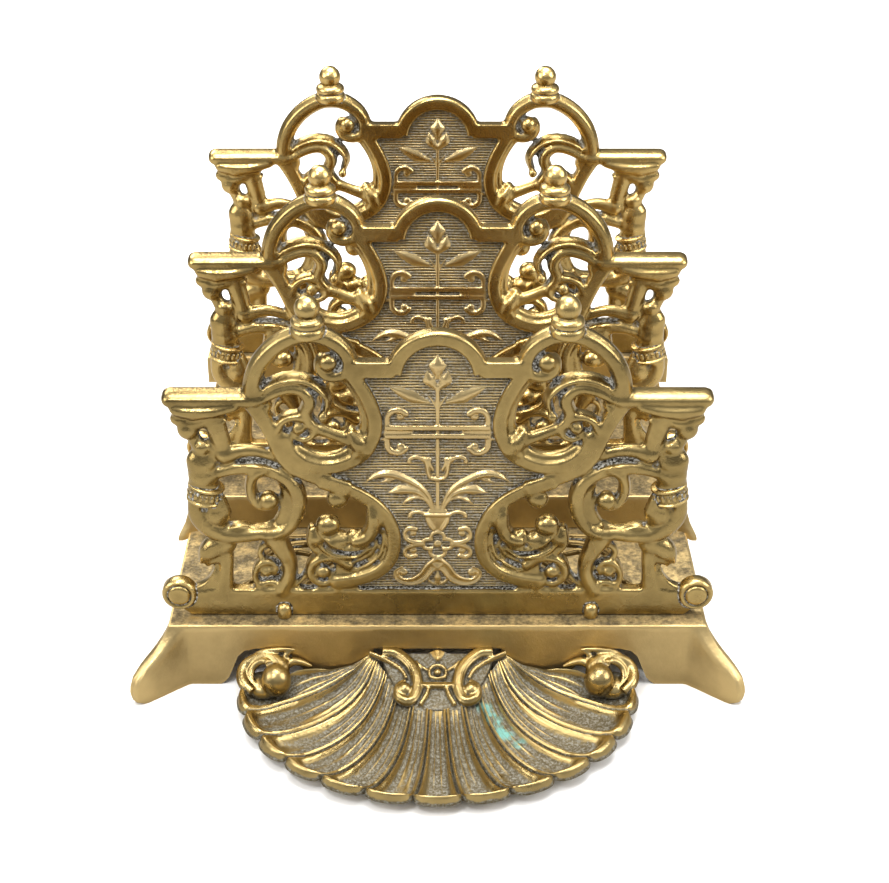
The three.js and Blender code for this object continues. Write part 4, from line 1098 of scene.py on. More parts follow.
@dataclass
class ScrollPanel:
    """One pierced panel, standing on z = 0 with its mid-plane at y = 0.

    back is its back face. fullness widens the strands past their measured widths, and a voxel is
    the finest detail that a casting keeps. The crown is the part of the plaque in
    the arch. Profiles of turned forms are pairs of radius and height.
    """

    back: float = 2.3
    rail: float = 10.3
    rail_outline: Path = ((0, 0), (85.5, 0), (90, 4.4), (90, 7.4), (84, 8.8), (76, 10.3), (0, 10.3))
    bar_ends: tuple[float, float] = (13.6, 30)
    bar_levels: tuple[float, float] = (93.0, 98.6)
    bar_forward: float = 0.3
    shelf_levels: tuple[float, float] = (81.6, 87.1)
    shelf_run: tuple[float, ...] = (58.5, 72, 86.8)
    shelf_depth: float = 7.0
    arch_centre: float = 92.8
    arch_outer: float = 16.6
    arch_inner: float = 11.3
    arch_depth: float = 4.9
    arch_turns: range = range(-84, 85, 4)
    torso: Path = (
        (0, 44.4), (4.6, 44.6), (5.2, 47), (5.5, 50), (5.1, 53), (4.7, 55.4), (5.0, 58.2),
        (5.2, 61), (4.2, 64), (2.4, 66.2), (0, 66.8),
    )
    torso_across: float = 77.8
    torso_flatness: float = 0.8
    fullness: float = 1.17
    figure_fullness: float = 1.22
    voxel: float = 0.635
    ground: float = 0.3
    ground_inset: float = 0.15
    back_face: float = 0.4
    relief_fullness: float = 1.12
    relief_sunk: float = 0.3
    relief_spacing: float = 0.8
    relief_clear: float = 0.7
    relief_voxel: float = 0.3
    ridge_pitch: float = 1.07
    ridge_start: float = 0.6
    ridge_top: float = 105.8
    ridge_width: float = 0.74
    ridge_height: float = 0.6
    ridge_sunk: float = 0.2
    ridge_gap: float = 0.4
    ridge_points: int = 13
    ridge_spacing: float = 3.2
    ridge_seed: int = 7
    ridge_drift: float = 0.04
    ridge_swells: int = 9
    ridge_swing: float = 0.07
    crown_from: float = 97.6
    crown_radius: float = 13.9
    crown_tip: float = 2.0
    crown_gap: float = 0.3
    finial: Path = (
        (0, 0), (5.5, 0), (5.75, 0.6), (5.6, 2.1), (5.2, 2.8), (4.8, 3.0), (4.8, 3.3), (5.3, 3.6),
        (5.45, 4.4), (5.2, 5.3), (4.6, 5.8), (3.9, 6.1), (3.4, 6.5), (3.75, 7.3), (4.1, 8.6),
        (4.05, 9.9), (3.4, 11.4), (2.2, 12.6), (1.0, 13.1), (0, 13.2),
    )
    finial_spot: tuple[float, float, float] = (41.0, 0, 107.8)
    roller: Path = (
        (0, 0), (4.6, 0), (5.6, 0.4), (6.0, 1.2), (6.0, 4.0), (5.7, 4.8), (5.2, 5.2), (4.6, 5.15),
        (4.1, 4.8), (3.9, 4.7), (3.75, 5.1), (3.4, 5.5), (2.8, 5.7), (0, 5.75),
    )
    roller_spot: tuple[float, float, float] = (88.9, 1.9, 8.7)
    lug: Path = ((0, 0), (2.4, 0), (2.5, 0.4), (2.45, 2.6), (2.2, 3.8), (1.4, 4.8), (0, 5.2))
    lug_across: float = 53.0
    belt: Path = (
        (0, -3.2), (5.2, -3.2), (5.9, -2.9), (6.0, -2.3), (5.5, -1.9), (5.4, 1.7), (5.8, 2.1),
        (6.2, 2.6), (6.1, 3.2), (5.6, 3.5), (0, 3.5),
    )
    belt_spot: tuple[float, float, float] = (77.5, 0, 48.6)
    belt_tip: float = -12
    belt_flatness: float = 0.82
    beads: int = 18
    bead_ring: float = 5.45
    bead: tuple[float, float, float] = (0.75, 0.75, 1.35)
    patina: Patina = Patina(reach=7.0, rays=12, gain=1.35, hollow=1.0)

    def casting(self) -> bpy.types.Mesh:
        """The scrollwork, rails and figures, run together as one casting.

        Returns:
            The mesh.
        """
        work = Work()
        for strokes, full in ((SCROLLS, self.fullness), (FIGURE, self.figure_fullness)):
            for stroke in strokes:
                work.stroke(replace(stroke, width=stroke.width * full), self.back)
        for ball in BALLS:
            work.ball(ball)
        self._torso(work)
        work.slab(self.rail_outline, -self.back, self.back)
        inner, outer = self.bar_ends
        low, high = self.bar_levels
        bar = ((inner, low), (outer, low), (outer, high), (inner, high))
        work.slab(bar, -self.back - self.bar_forward, self.back)
        self._shelf(work)
        work.mirror()
        self._arch(work)
        return work.fuse(self.voxel, smoothing=3).mesh("scrollwork")

    def _arch(self, work: Work) -> None:
        """Adds the bow over the plaque, between the two halves of the top rail.

        Args:
            work: the mesh in the making.
        """
        middle = (self.arch_outer + self.arch_inner) / 2
        steps = [math.radians(a) for a in self.arch_turns]
        points = [(middle * math.sin(a), self.arch_centre + middle * math.cos(a)) for a in steps]
        width = self.arch_outer - self.arch_inner
        work.stroke(Stroke(points, width, (1.0, 1.0), STRAP, self.arch_depth, False), self.back)

    def _shelf(self, work: Work) -> None:
        """Adds the moulded bar that the figure carries.

        Args:
            work: the mesh in the making.
        """
        low, high = self.shelf_levels
        points = [(x, (low + high) / 2) for x in self.shelf_run]
        bar = Stroke(points, high - low, depth=self.shelf_depth)
        work.stroke(bar, self.shelf_depth / 2)

    def _torso(self, work: Work) -> None:
        """Adds chest, waist and hips of the half-figure, turned and a little flattened.

        Args:
            work: the mesh in the making.
        """
        flat = Matrix.Diagonal((1, self.torso_flatness, 1, 1))
        place = Matrix.Translation((self.torso_across, 0, 0)) @ flat
        work.turned(self.torso, place, steps=24)

    def plaque(self) -> bpy.types.Mesh:
        """The ridged ground with the flowers in low relief.

        Returns:
            The mesh, with its attribute hollow: -1 on the back face, where the patina is plain.
        """
        work = Work()
        outline = list(PLAQUE_EDGE) + [(-x, z) for x, z in reversed(PLAQUE_EDGE[1:-1])]
        work.slab(outline, self.ground, self.back - self.ground_inset)
        self._ridges(work)
        relief = Work()
        full = self.relief_fullness
        for stroke in RELIEF:
            bold = replace(stroke, width=stroke.width * full, depth=stroke.depth * full)
            relief.stroke(bold, self.ground + self.relief_sunk, self.relief_spacing)
        for ball in RELIEF_BALLS:
            relief.ball(ball, segments=14)
        relief.mirror()
        relief = relief.fuse(self.relief_voxel, smoothing=1)
        for vert in relief.bm.verts:
            vert.co.y = min(vert.co.y, self.back - self.relief_clear)
        work.take(relief)
        hollow = work.bm.verts.layers.float.new("hollow")
        for vert in work.bm.verts:
            vert[hollow] = -1.0 if vert.co.y > self.back - self.back_face else 0.0
        return work.mesh("plaque")

    def _ridges(self, work: Work) -> None:
        """Adds level ridges across the ground, each a little uneven as filed by hand.

        Args:
            work: the mesh in the making.
        """
        draw = np.random.default_rng(self.ridge_seed)
        reach = [(z, x) for x, z in PLAQUE_EDGE]
        depth = self.ridge_height + self.ridge_sunk
        for row in range(int((self.ridge_top - self.rail) / self.ridge_pitch)):
            up = self.rail + (row + self.ridge_start) * self.ridge_pitch
            half = reading(reach, up) - self.ridge_gap
            if up > self.crown_from:
                square = self.crown_radius ** 2 - (up - self.arch_centre) ** 2
                half = math.sqrt(max(self.crown_tip ** 2, square)) - self.crown_gap
            across = np.linspace(-half, half, self.ridge_points)
            drift = draw.normal(0, self.ridge_drift, self.ridge_points)
            points = [(x, up + d) for x, d in zip(across, drift)]
            swell = tuple(draw.normal(1, self.ridge_swing, self.ridge_swells))
            ridge = Stroke(points, self.ridge_width, swell, ROUND, depth, False)
            work.stroke(ridge, self.ground + self.ridge_sunk, self.ridge_spacing)

    def turnings(self) -> bpy.types.Mesh:
        """Finials, rollers, lugs and beaded belts.

        Returns:
            Their mesh.
        """
        side = Work()
        side.turned(self.finial, Matrix.Translation(self.finial_spot))
        lying = Matrix.Rotation(math.pi / 2, 4, "X")
        side.turned(self.roller, Matrix.Translation(self.roller_spot) @ lying, steps=44)
        side.turned(self.lug, Matrix.Translation((self.lug_across, -self.back, 0)), steps=24)
        self._belt(side)
        side.mirror()
        return side.mesh("turnings")

    def _belt(self, work: Work) -> None:
        """Adds the belt with its row of beads, tipped towards the shelf side.

        Args:
            work: the mesh in the making.
        """
        tip = Matrix.Rotation(math.radians(self.belt_tip), 4, "Y")
        flat = Matrix.Diagonal((1, self.belt_flatness, 1, 1))
        place = Matrix.Translation(self.belt_spot) @ tip @ flat
        work.turned(self.belt, place, steps=36)
        shape = Matrix.Diagonal((*self.bead, 1))
        for turn in range(self.beads):
            angle = turn * math.pi / (self.beads / 2)
            spot = (self.bead_ring * math.cos(angle), self.bead_ring * math.sin(angle), 0)
            work.sphere(place @ Matrix.Translation(spot) @ shape, segments=8)

    def place(
        self, finishes: dict[str, bpy.types.Material], ground: bpy.types.Material,
    ) -> None:
        """Makes the panel once and sets a copy of it for each node.

        Args:
            finishes: finish of the scrollwork of each panel's solid.
            ground: finish of the plaques.
        """
        casting, plaque, turnings = self.casting(), self.plaque(), self.turnings()
        self.patina.write(casting, [plaque, turnings])
        self.patina.write(plaque, [casting])
        self.patina.write(turnings, [casting])
        for node, finish in finishes.items():
            low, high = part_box(node)
            depth = (low.y + high.y) / 2 / MM - APRON_Y
            spot = Matrix.Translation((0, depth, low.z / MM))
            piece(casting, node + "_scrollwork", node, finish, spot)
            piece(plaque, node + "_plaque", node, ground, spot)
            piece(turnings, node + "_turnings", node, finish, spot)


@dataclass
class Tier:
    """One casting of the stepped base: a plate with aprons, open underneath.

    Its top edge is rounded from edge_in through shoulder to edge_drop: how far in and how far
    down. The apron's lower edge is softened over lip, and inner_shares are rows on its inside.
    """

    half: float
    front: float
    back: float
    top: float
    wall: float = 3.2
    plate: float = 3.4
    corner_spots: tuple[float, ...] = (
        0, 0.7, 1.4, 2.2, 3, 3.8, 4.6, 5.4, 6.2, 7, 8.5, 11, 13, 15, 17, 18.5, 20, 21, 22, 22.8,
        23.6, 24.6, 26, 28, 30, 34, 40, 41, 42.5, 44.5, 47, 51, 56, 62, 67, 69.5, 70.4, 71,
    )
    rows: int = 14
    edge_in: float = 1.2
    shoulder: tuple[float, float] = (0.4, 0.3)
    edge_drop: float = 1.1
    lip: float = 0.3
    inner_shares: tuple[float, ...] = (0.98, 0.7, 0.45)
    patina: Patina = Patina(reach=9.0, rays=10)

    def foot(self, reach: float, way: Vector) -> float:
        """Height of the apron's lower edge at a distance from the corner."""
        return 0.0

    def flare(self, reach: float, up: float, way: Vector) -> float:
        """How far the apron leans out, diagonally, at a distance from the corner."""
        return 0.0

    def _round(self) -> list[tuple[Vector, Vector, float]]:
        """Points round the plan.

        Returns:
            For each point its place, the outward direction and the distance from the corner.
        """
        low = Vector((-self.half, self.front))
        high = Vector((self.half, self.back))
        corners = [low, Vector((high.x, low.y)), high, Vector((low.x, high.y))]
        found = []
        for start, end in zip(corners, corners[1:] + corners[:1]):
            span = (end - start).length
            along = (end - start) / span
            out = Vector((along.y, -along.x))
            near = [s for s in self.corner_spots if s < span / 2 - 1]
            for s in near + [span / 2] + [span - s for s in reversed(near[1:])]:
                away = min(s, span - s)
                facing = out if 0 < s else out - along
                found.append((start + along * s, facing, away))
        return found

    def _rows(self) -> list[tuple[float, float | None, float]]:
        """Rows of points from the top's edge down the apron and up its inside.

        Returns:
            For each row how far out it is, its share of the way from the level that comes third
            to the apron's lower edge, or None where it is at that level, and that level.
        """
        wall_top = self.top - self.edge_drop
        inward, down = self.shoulder
        rows = [(-self.edge_in, None, self.top), (-inward, None, self.top - down)]
        rows += [(0, None, wall_top)]
        rows += [(0, (k + 1) / self.rows, wall_top) for k in range(self.rows)]
        rows += [(-self.lip, 1, wall_top), (self.lip - self.wall, 1, wall_top)]
        rows += [(-self.wall, share, wall_top) for share in self.inner_shares]
        rows += [(-self.wall, None, self.top - self.plate)]
        return rows

    def work(self) -> Work:
        """Makes the casting's mesh.

        Returns:
            The mesh in the making.
        """
        work = Work()
        bm = work.bm
        spots = self._round()
        key = bm.verts.layers.int.new("spot")
        rim = [bm.verts.new((*place, self.top)) for place, _, _ in spots]
        for k, vert in enumerate(rim):
            vert[key] = k
        edges = list(bm.faces.new(rim).edges)
        first, *others = self._rows()
        for vert in rim:
            self._set(vert, spots[vert[key]], first)
        for row in others:
            fresh, edges = grow(bm, edges)
            for vert in fresh:
                self._set(vert, spots[vert[key]], row)
        bmesh.ops.contextual_create(bm, geom=edges)
        bmesh.ops.remove_doubles(bm, verts=bm.verts, dist=WELD)
        return work

    def _set(
        self, vert: bmesh.types.BMVert, spot: tuple[Vector, Vector, float],
        row: tuple[float, float | None, float],
    ) -> None:
        """Moves a point of a row to its place on the apron.

        Args:
            vert: the point.
            spot: its place in the plan, the outward direction and the corner's distance.
            row: how far out it is, its share of the way down, and the level it starts from.
        """
        place, facing, away = spot
        outset, share, start = row
        way = place - Vector((0, (self.front + self.back) / 2))
        low = self.foot(away, way)
        up = start if share is None else start + (low - start) * share
        lean = self.flare(away, up, way)
        corner = Vector((math.copysign(1, way.x), math.copysign(1, way.y)))
        flat = place + facing * outset
        inset = max(0.0, -outset)
        flat.x = min(max(flat.x, inset - self.half), self.half - inset)
        flat.y = min(max(flat.y, self.front + inset), self.back - inset)
        flat += corner * lean
        vert.co = (flat.x, flat.y, up)

    def place(self, node: str, material: bpy.types.Material) -> None:
        """Puts the casting into the scene.

        Args:
            node: the solid that it stands for.
            material: its finish.
        """
        mesh = self.work().mesh(node + "_casting", smooth_angle=32)
        self.patina.write(mesh)
        piece(mesh, node + "_casting", node, material)


@dataclass
class BracketBase(Tier):
    """Lowest tier, on four bracket feet with flared toes.

    sweep is a foot's outline from the corner on, flap that of the two flaps in front, and toe
    the share of reach that a toe leans out at a height.
    """

    sweep: Path = (
        (0, 0), (17, 0), (18.5, 1.2), (20, 3), (22, 8), (23.5, 12), (26, 14.5), (30, 15.5),
    )
    toe: Path = (
        (0, 0.84), (0.8, 0.93), (2.2, 0.98), (6, 1), (10.5, 0.9), (14.4, 0.66), (17, 0.42),
        (19.4, 0.24), (21.6, 0.1), (23.8, 0),
    )
    flap: Path = (
        (41, 15.5), (42.5, 12.4), (44.5, 8.2), (47, 5.8), (51, 5), (69.5, 5), (70.4, 5.6),
        (71, 15.5),
    )
    reach: float = TOE_REACH
    blunt: float = 3.2
    spread: float = 6.6
    nose: float = 3.0
    nose_back: float = 0.09

    def foot(self, reach: float, way: Vector) -> float:
        """Height of the apron's lower edge: the ogee of a bracket foot, and in front two flaps.

        Args:
            reach: distance from the corner.
            way: from the middle of the plan to the point.

        Returns:
            The height.
        """
        low = reading(self.sweep, reach)
        if way.y < (self.front - self.back) / 2 + 0.1:
            low = min(low, reading(self.flap, reach))
        return low

    def flare(self, reach: float, up: float, way: Vector) -> float:
        """How far the toe leans out.

        Args:
            reach: distance from the corner.
            up: height.
            way: from the middle of the plan to the point; not used.

        Returns:
            The distance, along both sides.
        """
        fade = min(1.0, max(0.0, (self.spread - reach) / (self.spread - self.blunt)))
        corner = 1 - self.nose_back * max(0.0, 1 - reach / self.nose) ** 2
        return self.reach * corner * reading(self.toe, up) * ease(fade)


@dataclass
class LappedTier(Tier):
    """Upper tier whose front corners turn out and lap over the tier below.

    curl is the share of reach that an ear leans out at a share of its height, from the top.
    """

    lap: float = 0.0
    reach: float = 4.4
    drop: float = 3.0
    blunt: float = 1.6
    spread: float = 6.4
    curl: Path = ((0, 0), (0.3, 0.1), (0.6, 0.45), (0.85, 1), (0.95, 1), (1, 0.8))

    def foot(self, reach: float, way: Vector) -> float:
        """Height of the apron's lower edge, which dips at the ear of a corner."""
        return self.lap - self.drop * self._fade(reach, way)

    def flare(self, reach: float, up: float, way: Vector) -> float:
        """How far the corner leans out."""
        share = min(1.0, max(0.0, (self.top - 1 - up) / (self.top - self.lap + self.drop)))
        return self.reach * self._fade(reach, way) * reading(self.curl, share)

    def _fade(self, reach: float, way: Vector) -> float:
        """Share of the ear that is left.

        Args:
            reach: distance from the corner.
            way: from the middle of the plan to the point.

        Returns:
            From 1 at a front corner to 0.
        """
        if way.y > 0:
            return 0.0
        return ease(min(1.0, max(0.0, (self.spread - reach) / (self.spread - self.blunt))))


@dataclass
class FloorLeaves:
    """Leaf scrolls in low relief on the floor of the base, in front of the middle step."""

    floor: float = 25.0
    depth: float = 1.9
    sunk: float = 0.3
    voxel: float = 0.42
    swell: tuple[float, ...] = (0.7, 1, 1, 0.8, 0.3)
    patina: Patina = Patina(reach=5.0, rays=10, gain=2.0)
    leaves: tuple[tuple[Path, float], ...] = (
        (((8, 18), (16, 26), (28, 24), (33, 16), (26, 12), (22, 18)), 3.2),
        (((16, 26), (22, 38), (34, 42), (42, 34), (38, 27), (32, 30)), 3.4),
        (((34, 42), (46, 50), (60, 46), (65, 36), (58, 30), (52, 36)), 3.4),
        (((42, 34), (50, 22), (61, 15), (69, 21), (65, 28)), 3.4),
        (((5, 55), (14, 46), (26, 51), (31, 57)), 4.4), (((40, 56), (52, 54), (68, 55)), 3.2),
        (((3, 32), (10, 39), (6, 48)), 4.2), (((36, 14), (44, 17), (49, 13)), 3.2),
        (((56, 25), (62, 23), (63, 31)), 2.6), (((24, 31), (29, 36), (33, 35)), 2.6),
        (((46, 43), (52, 45), (56, 40)), 2.6),
    )

    def place(self, material: bpy.types.Material) -> None:
        """Puts the leaves into the scene.

        Args:
            material: their finish.
        """
        side = Work()
        for points, width in self.leaves:
            leaf = Stroke(points, width, self.swell, FURROW, self.depth)
            side.flat_stroke(leaf, lambda x, y: self.floor, self.sunk)
        side.mirror()
        mesh = side.fuse(self.voxel, smoothing=1).mesh("floor_leaves", smooth_angle=50)
        self.patina.write(mesh)
        piece(mesh, "base_floor_leaves", "base", material)


LYRE = (
    # Horn with its curl, and the thin strand outside it
    Stroke(((19, -0.8), (14, -1.5), (9, -6.2), (7, -11.75), (7.5, -16.6), (9.5, -20.1),
            (13, -18.7), (13.5, -15.2), (11, -13.2)), 4.2,
           (1, 1.05, 1, 1, 1, 1, 0.85, 0.7, 0.6), STEPPED, 3.0),
    Stroke(((23.5, -1.2), (18, -3.9), (12.6, -7.8), (10.6, -11.6)), 1.6, (1, 1, 1, 0.8), ROUND, 2.2),
    # Lower leaf and crossbar
    Stroke(((2.6, -13.4), (3.8, -17.6), (6, -21.8)), 2.4, (0.9, 1, 0.9), RIDGE, 2.4),
    Stroke(((0, -14.2), (4, -14.2), (6.6, -14.0)), 2.3, (1, 1, 0.8), STRAP, 2.4),
    # Middle leaf, the ring under it and its twig
    Stroke(((0, -4.9), (0.3, -2.4), (0.2, -0.5)), 6.6, (0.12, 0.6, 1.05), RIDGE, 2.2),
    Stroke(((0, -6.5), (2.2, -7.3), (2.9, -9.2), (2.2, -11.1), (0, -11.9)), 1.3, depth=2.4),
    Stroke(((2.6, -8.6), (5.6, -6.6), (7.4, -4.4)), 1.2, (1, 1, 0.6), ROUND, 1.9),
)

VOLUTE = (
    # Outer and inner band, which wind into the bulb
    Stroke(((63.6, -12.4, 6.2), (66.6, -9.6, 7.6), (67.6, -6.4, 8.6), (67, -3.4, 9.9),
            (64.6, -1.9, 11.7), (60.2, -1.7, 13.1), (56.2, -2.8, 12.8), (53.6, -5.6, 11.6),
            (54.6, -8.6, 9.6)), 3.8, (0.9, 1.1, 1.1, 1.1, 1.1, 1.1, 1.2, 1.4, 1.5)),
    Stroke(((62.6, -10, 6.6), (64.2, -7.6, 8.4), (64, -4.9, 10.6), (61.9, -3.8, 12.4),
            (59.4, -4, 13.2), (58.2, -5.6, 13.3)), 2.5, (0.8, 0.9, 1, 1.05, 1.1, 1.0)),
    # Leaf tip behind them
    Stroke(((65, -1, 13), (61, -0.9, 15), (55, -0.9, 15.7), (49.2, -0.9, 16)), 2.0,
           (0.4, 0.8, 1, 0.25)),
    Stroke(((49.4, -0.9, 15.9), (51.8, -1.3, 14.4), (54, -2.4, 12.4)), 2.2, (0.3, 0.8, 1)),
    Stroke(((53.4, -3.4, 10.2), (50.2, -2.2, 11.6), (46.8, -1.5, 10.4), (43.6, -1.3, 8.6)), 3.0,
           (1.1, 1.1, 0.9, 0.4)),
)

VOLUTE_BULBS = (
    Ball((55.6, 8.4, 8.6), (5.3, 6.0, 5.4)), Ball((60.6, 4.6, 6.6), (6.6, 3.8, 6.2)),
)


@dataclass
class ShellDish:
    """Scallop shell in front of the apron, with a lyre at its hub and a volute at each end.

    An angle is 0 at the front and a quarter turn at each end; along is 0 at the hub and 1 at the
    rim. Tables of pairs say how a height or a share goes with along, or with a distance.
    """

    lobes: int = 13
    per_lobe: int = 26
    half_width: float = 65.4
    reach: float = 54.0
    setback: float = 10.0
    bulge: float = 3.6
    bulge_power: float = 2.6
    hub_half: float = 24.0
    hub_reach: float = 23.0
    hub_gap: float = 0.3
    hub_power: int = 3
    bend_across: tuple[float, float] = (0.6, 0.4)
    bend_along: tuple[float, float] = (0.05, 0.67)
    hub_height: float = 7.2
    wing_top: float = 12.4
    floor: float = 1.0
    wall: float = 2.2
    rim: float = 6.9
    tube: float = 2.0
    thin: float = 0.7
    thin_until: float = 0.97
    rib: float = 1.25
    rib_share: float = 0.2
    least_gap: float = 0.02
    step: float = 0.02
    end_gap: float = 0.75
    hub_fall: Path = ((0, 1), (0.1, 0.64), (0.2, 0.37), (0.32, 0.17), (0.46, 0.05), (0.62, 0))
    rim_rise: Path = ((0.66, 0), (0.8, 0.08), (0.88, 0.3), (0.93, 0.62), (0.97, 0.9), (1, 1))
    apron_edge: Path = ((24, 12.7), (29, 8.8), (37, 7), (44, 9.5), (48, 11.5), (58, 9))
    apron_near: Path = ((-8, 0), (-5, 0.35), (-1.5, 1))
    band_profile: Path = (
        (0, -1.2), (0.22, -0.25), (0.5, 0.62), (0.85, 0.98), (1.1, 1), (1.4, 0.7), (1.7, -0.2),
        (2.0, -0.9), (2.4, -1.35), (3.2, -1.6),
    )
    band_run: Path = ((0, 0.5), (0.1, 1))
    band_hollow: float = 0.5
    vein: tuple[float, float] = (0.25, 0.11)
    vein_run: Path = ((0, 0.3), (0.1, 1), (0.5, 0.9), (0.84, 0))
    vein_height: float = 0.8
    vein_clean: float = 0.8
    streak: float = 0.9
    streak_scale: tuple[float, float, float] = (30, 2.2, 0.5)
    rows: tuple[float, ...] = (
        0, 0.03, 0.07, 0.12, 0.17, 0.22, 0.27, 0.32, 0.37, 0.42, 0.47, 0.52, 0.57, 0.61, 0.65,
        0.69, 0.72, 0.75, 0.78, 0.8, 0.82, 0.84, 0.855, 0.87, 0.885, 0.9, 0.912, 0.924, 0.936,
        0.948, 0.96, 0.97, 0.978, 0.985, 0.99, 0.995, 1.0,
    )
    wall_rows: Path = (
        (1.001, 5.0), (0.99, 4.5), (0.965, 4.1), (0.94, 3.6), (0.9, 2.8), (0.84, 1.7),
        (0.76, 1.0), (0.6, 0.9), (0.3, 1.4), (0, 3.2),
    )
    lyre_top: float = 14.4
    lyre_ground: Path = ((19.5, -0.4), (18, -6), (15.5, -11.5), (11.5, -17), (8, -22.6))
    lyre_sunk: float = 0.4
    lyre_foot: float = 2.6
    lyre_bosses: Path = ((11.4, -15.9, 2.6), (0, -9.2, 1.3))
    boss_rise: float = 0.7
    lyre_hollow: Path = ((0, 1), (0.7, 0))
    lyre_voxel: float = 0.32
    volute_voxel: float = 0.42
    patina: Patina = Patina(reach=6.0, rays=12, gain=1.1, hollow=0.42)

    def _plan(self, angle: float, along: float, lobe: float = 1.0) -> Vector:
        """A point in plan.

        Args:
            angle: direction from the hub.
            along: share of the way to the rim.
            lobe: how much of the lobes' bulge the rim has.

        Returns:
            The point, across and back.
        """
        u = abs(self._across(angle))
        bulge = self.bulge * lobe * math.sqrt(max(0.0, 1 - u ** self.bulge_power))
        rim = Vector((
            (self.half_width + bulge) * math.sin(angle),
            -self.setback - (self.reach + bulge) * math.cos(angle),
        ))
        hub = Vector((
            self.hub_half * math.sin(angle),
            -self.hub_gap - self.hub_reach * math.cos(angle) ** self.hub_power,
        ))
        sweep = min(1.0, 2 * math.cos(angle))
        across, across_less = self.bend_across
        back, back_more = self.bend_along
        bend = Vector((
            hub.x + (across - across_less * sweep) * (rim.x - hub.x),
            hub.y + (back + back_more * sweep) * (rim.y - hub.y),
        ))
        return hub * (1 - along) ** 2 + bend * 2 * along * (1 - along) + rim * along ** 2

    def _across(self, angle: float) -> float:
        """Where an angle is on its lobe: -1 and 1 in the grooves, 0 in the middle."""
        turns = angle * self.lobes / math.pi + 0.5
        return (turns - math.floor(turns)) * 2 - 1

    def _ground(self, angle: float, along: float) -> float:
        """Height that bands and troughs start from: low in the bowl, high at hub and rim.

        Args:
            angle: direction from the hub.
            along: share of the way to the rim.

        Returns:
            The height.
        """
        front = max(0.0, math.cos(angle)) ** 2
        hub = self.wing_top + (self.hub_height - self.wing_top) * front
        floor = self.floor + self.wall
        falling = reading(self.hub_fall, along) * (hub - floor)
        rising = reading(self.rim_rise, along) * (self.rim - floor)
        base = floor + falling + rising
        place = self._plan(angle, along, 0)
        edge = reading(self.apron_edge, abs(place.x))
        return base + reading(self.apron_near, place.y) * max(0.0, edge - base)

    def _lobe_half(self, angle: float, along: float) -> float:
        """Half the width of a lobe.

        Args:
            angle: direction from the hub.
            along: share of the way to the rim.

        Returns:
            The distance from its middle to a groove.
        """
        step = self.step
        aside = (self._plan(angle + step, along, 0) - self._plan(angle - step, along, 0)) / step
        ahead = self._plan(angle, along + step, 0) - self._plan(angle, along - step, 0)
        apart = abs(aside.x * ahead.y - aside.y * ahead.x) / ahead.length / 2
        return apart * math.pi / 2 / self.lobes

    def _top(self, angle: float, along: float) -> tuple[float, float]:
        """The upper face: a trough in each lobe with a raised band round it.

        Args:
            angle: direction from the hub.
            along: share of the way to the rim.

        Returns:
            Its height, and how hollow it is: 0 on a band and 1 in a trough.
        """
        wide = self._lobe_half(angle, along)
        across = abs(self._across(angle))
        side_gap = max(self.least_gap, (1 - across) * wide)
        end_gap = max(self.least_gap, (1 - along) * self.reach * self.end_gap)
        rib = min(self.rib, self.rib_share * wide)
        gap = ((side_gap / rib) ** -3 + (end_gap / self.tube) ** -3) ** (-1 / 3)
        size = rib + (self.tube - rib) * side_gap ** 3 / (side_gap ** 3 + end_gap ** 3)
        band = reading(self.band_profile, gap)
        up = self._ground(angle, along) + size * band * reading(self.band_run, along)
        middle, width = self.vein
        vein = math.exp(-((across - middle) / width) ** 2) * reading(self.vein_run, along)
        turned, drawn, seed = self.streak_scale
        streak = 1 + self.streak * noise.noise(Vector((angle * turned, along * drawn, seed)))
        hollow = max(0.0, self.band_hollow - band) / 2 * (1 - self.vein_clean * vein) * streak
        up += self.vein_height * rib * vein
        if along < self.thin_until:
            up = max(up, self.thin + reading(sorted(self.wall_rows), along))
        return up, hollow

    def bowl(self) -> Work:
        """The fluted bowl with its lobed rim.

        Returns:
            The mesh in the making.
        """
        columns = self.lobes * self.per_lobe
        work = Work()
        count = len(self.rows) + len(self.wall_rows)
        bmesh.ops.create_grid(work.bm, x_segments=columns, y_segments=count - 1, size=0.5)
        hub = [
            e for e in work.bm.edges
            if e.is_boundary and abs(e.verts[0].co.y - e.verts[1].co.y) < WELD
        ]
        hollow = work.bm.verts.layers.float.new("hollow")
        for vert in work.bm.verts:
            angle = vert.co.x * math.pi
            row = round((vert.co.y + 0.5) * (count - 1))
            if row < len(self.rows):
                along = self.rows[row]
                up, vert[hollow] = self._top(angle, along)
            else:
                along, up = self.wall_rows[row - len(self.rows)]
            place = self._plan(angle, along)
            vert.co = (place.x, place.y, up)
        bmesh.ops.bridge_loops(work.bm, edges=hub)
        ends = [e for e in work.bm.edges if e.is_boundary]
        bmesh.ops.holes_fill(work.bm, edges=ends, sides=0)
        return work

    def slope(self, x: float, y: float) -> float:
        """Height of the lyre's ground."""
        return self.lyre_top + (self.lyre_top - self.hub_height) / self.hub_reach * y

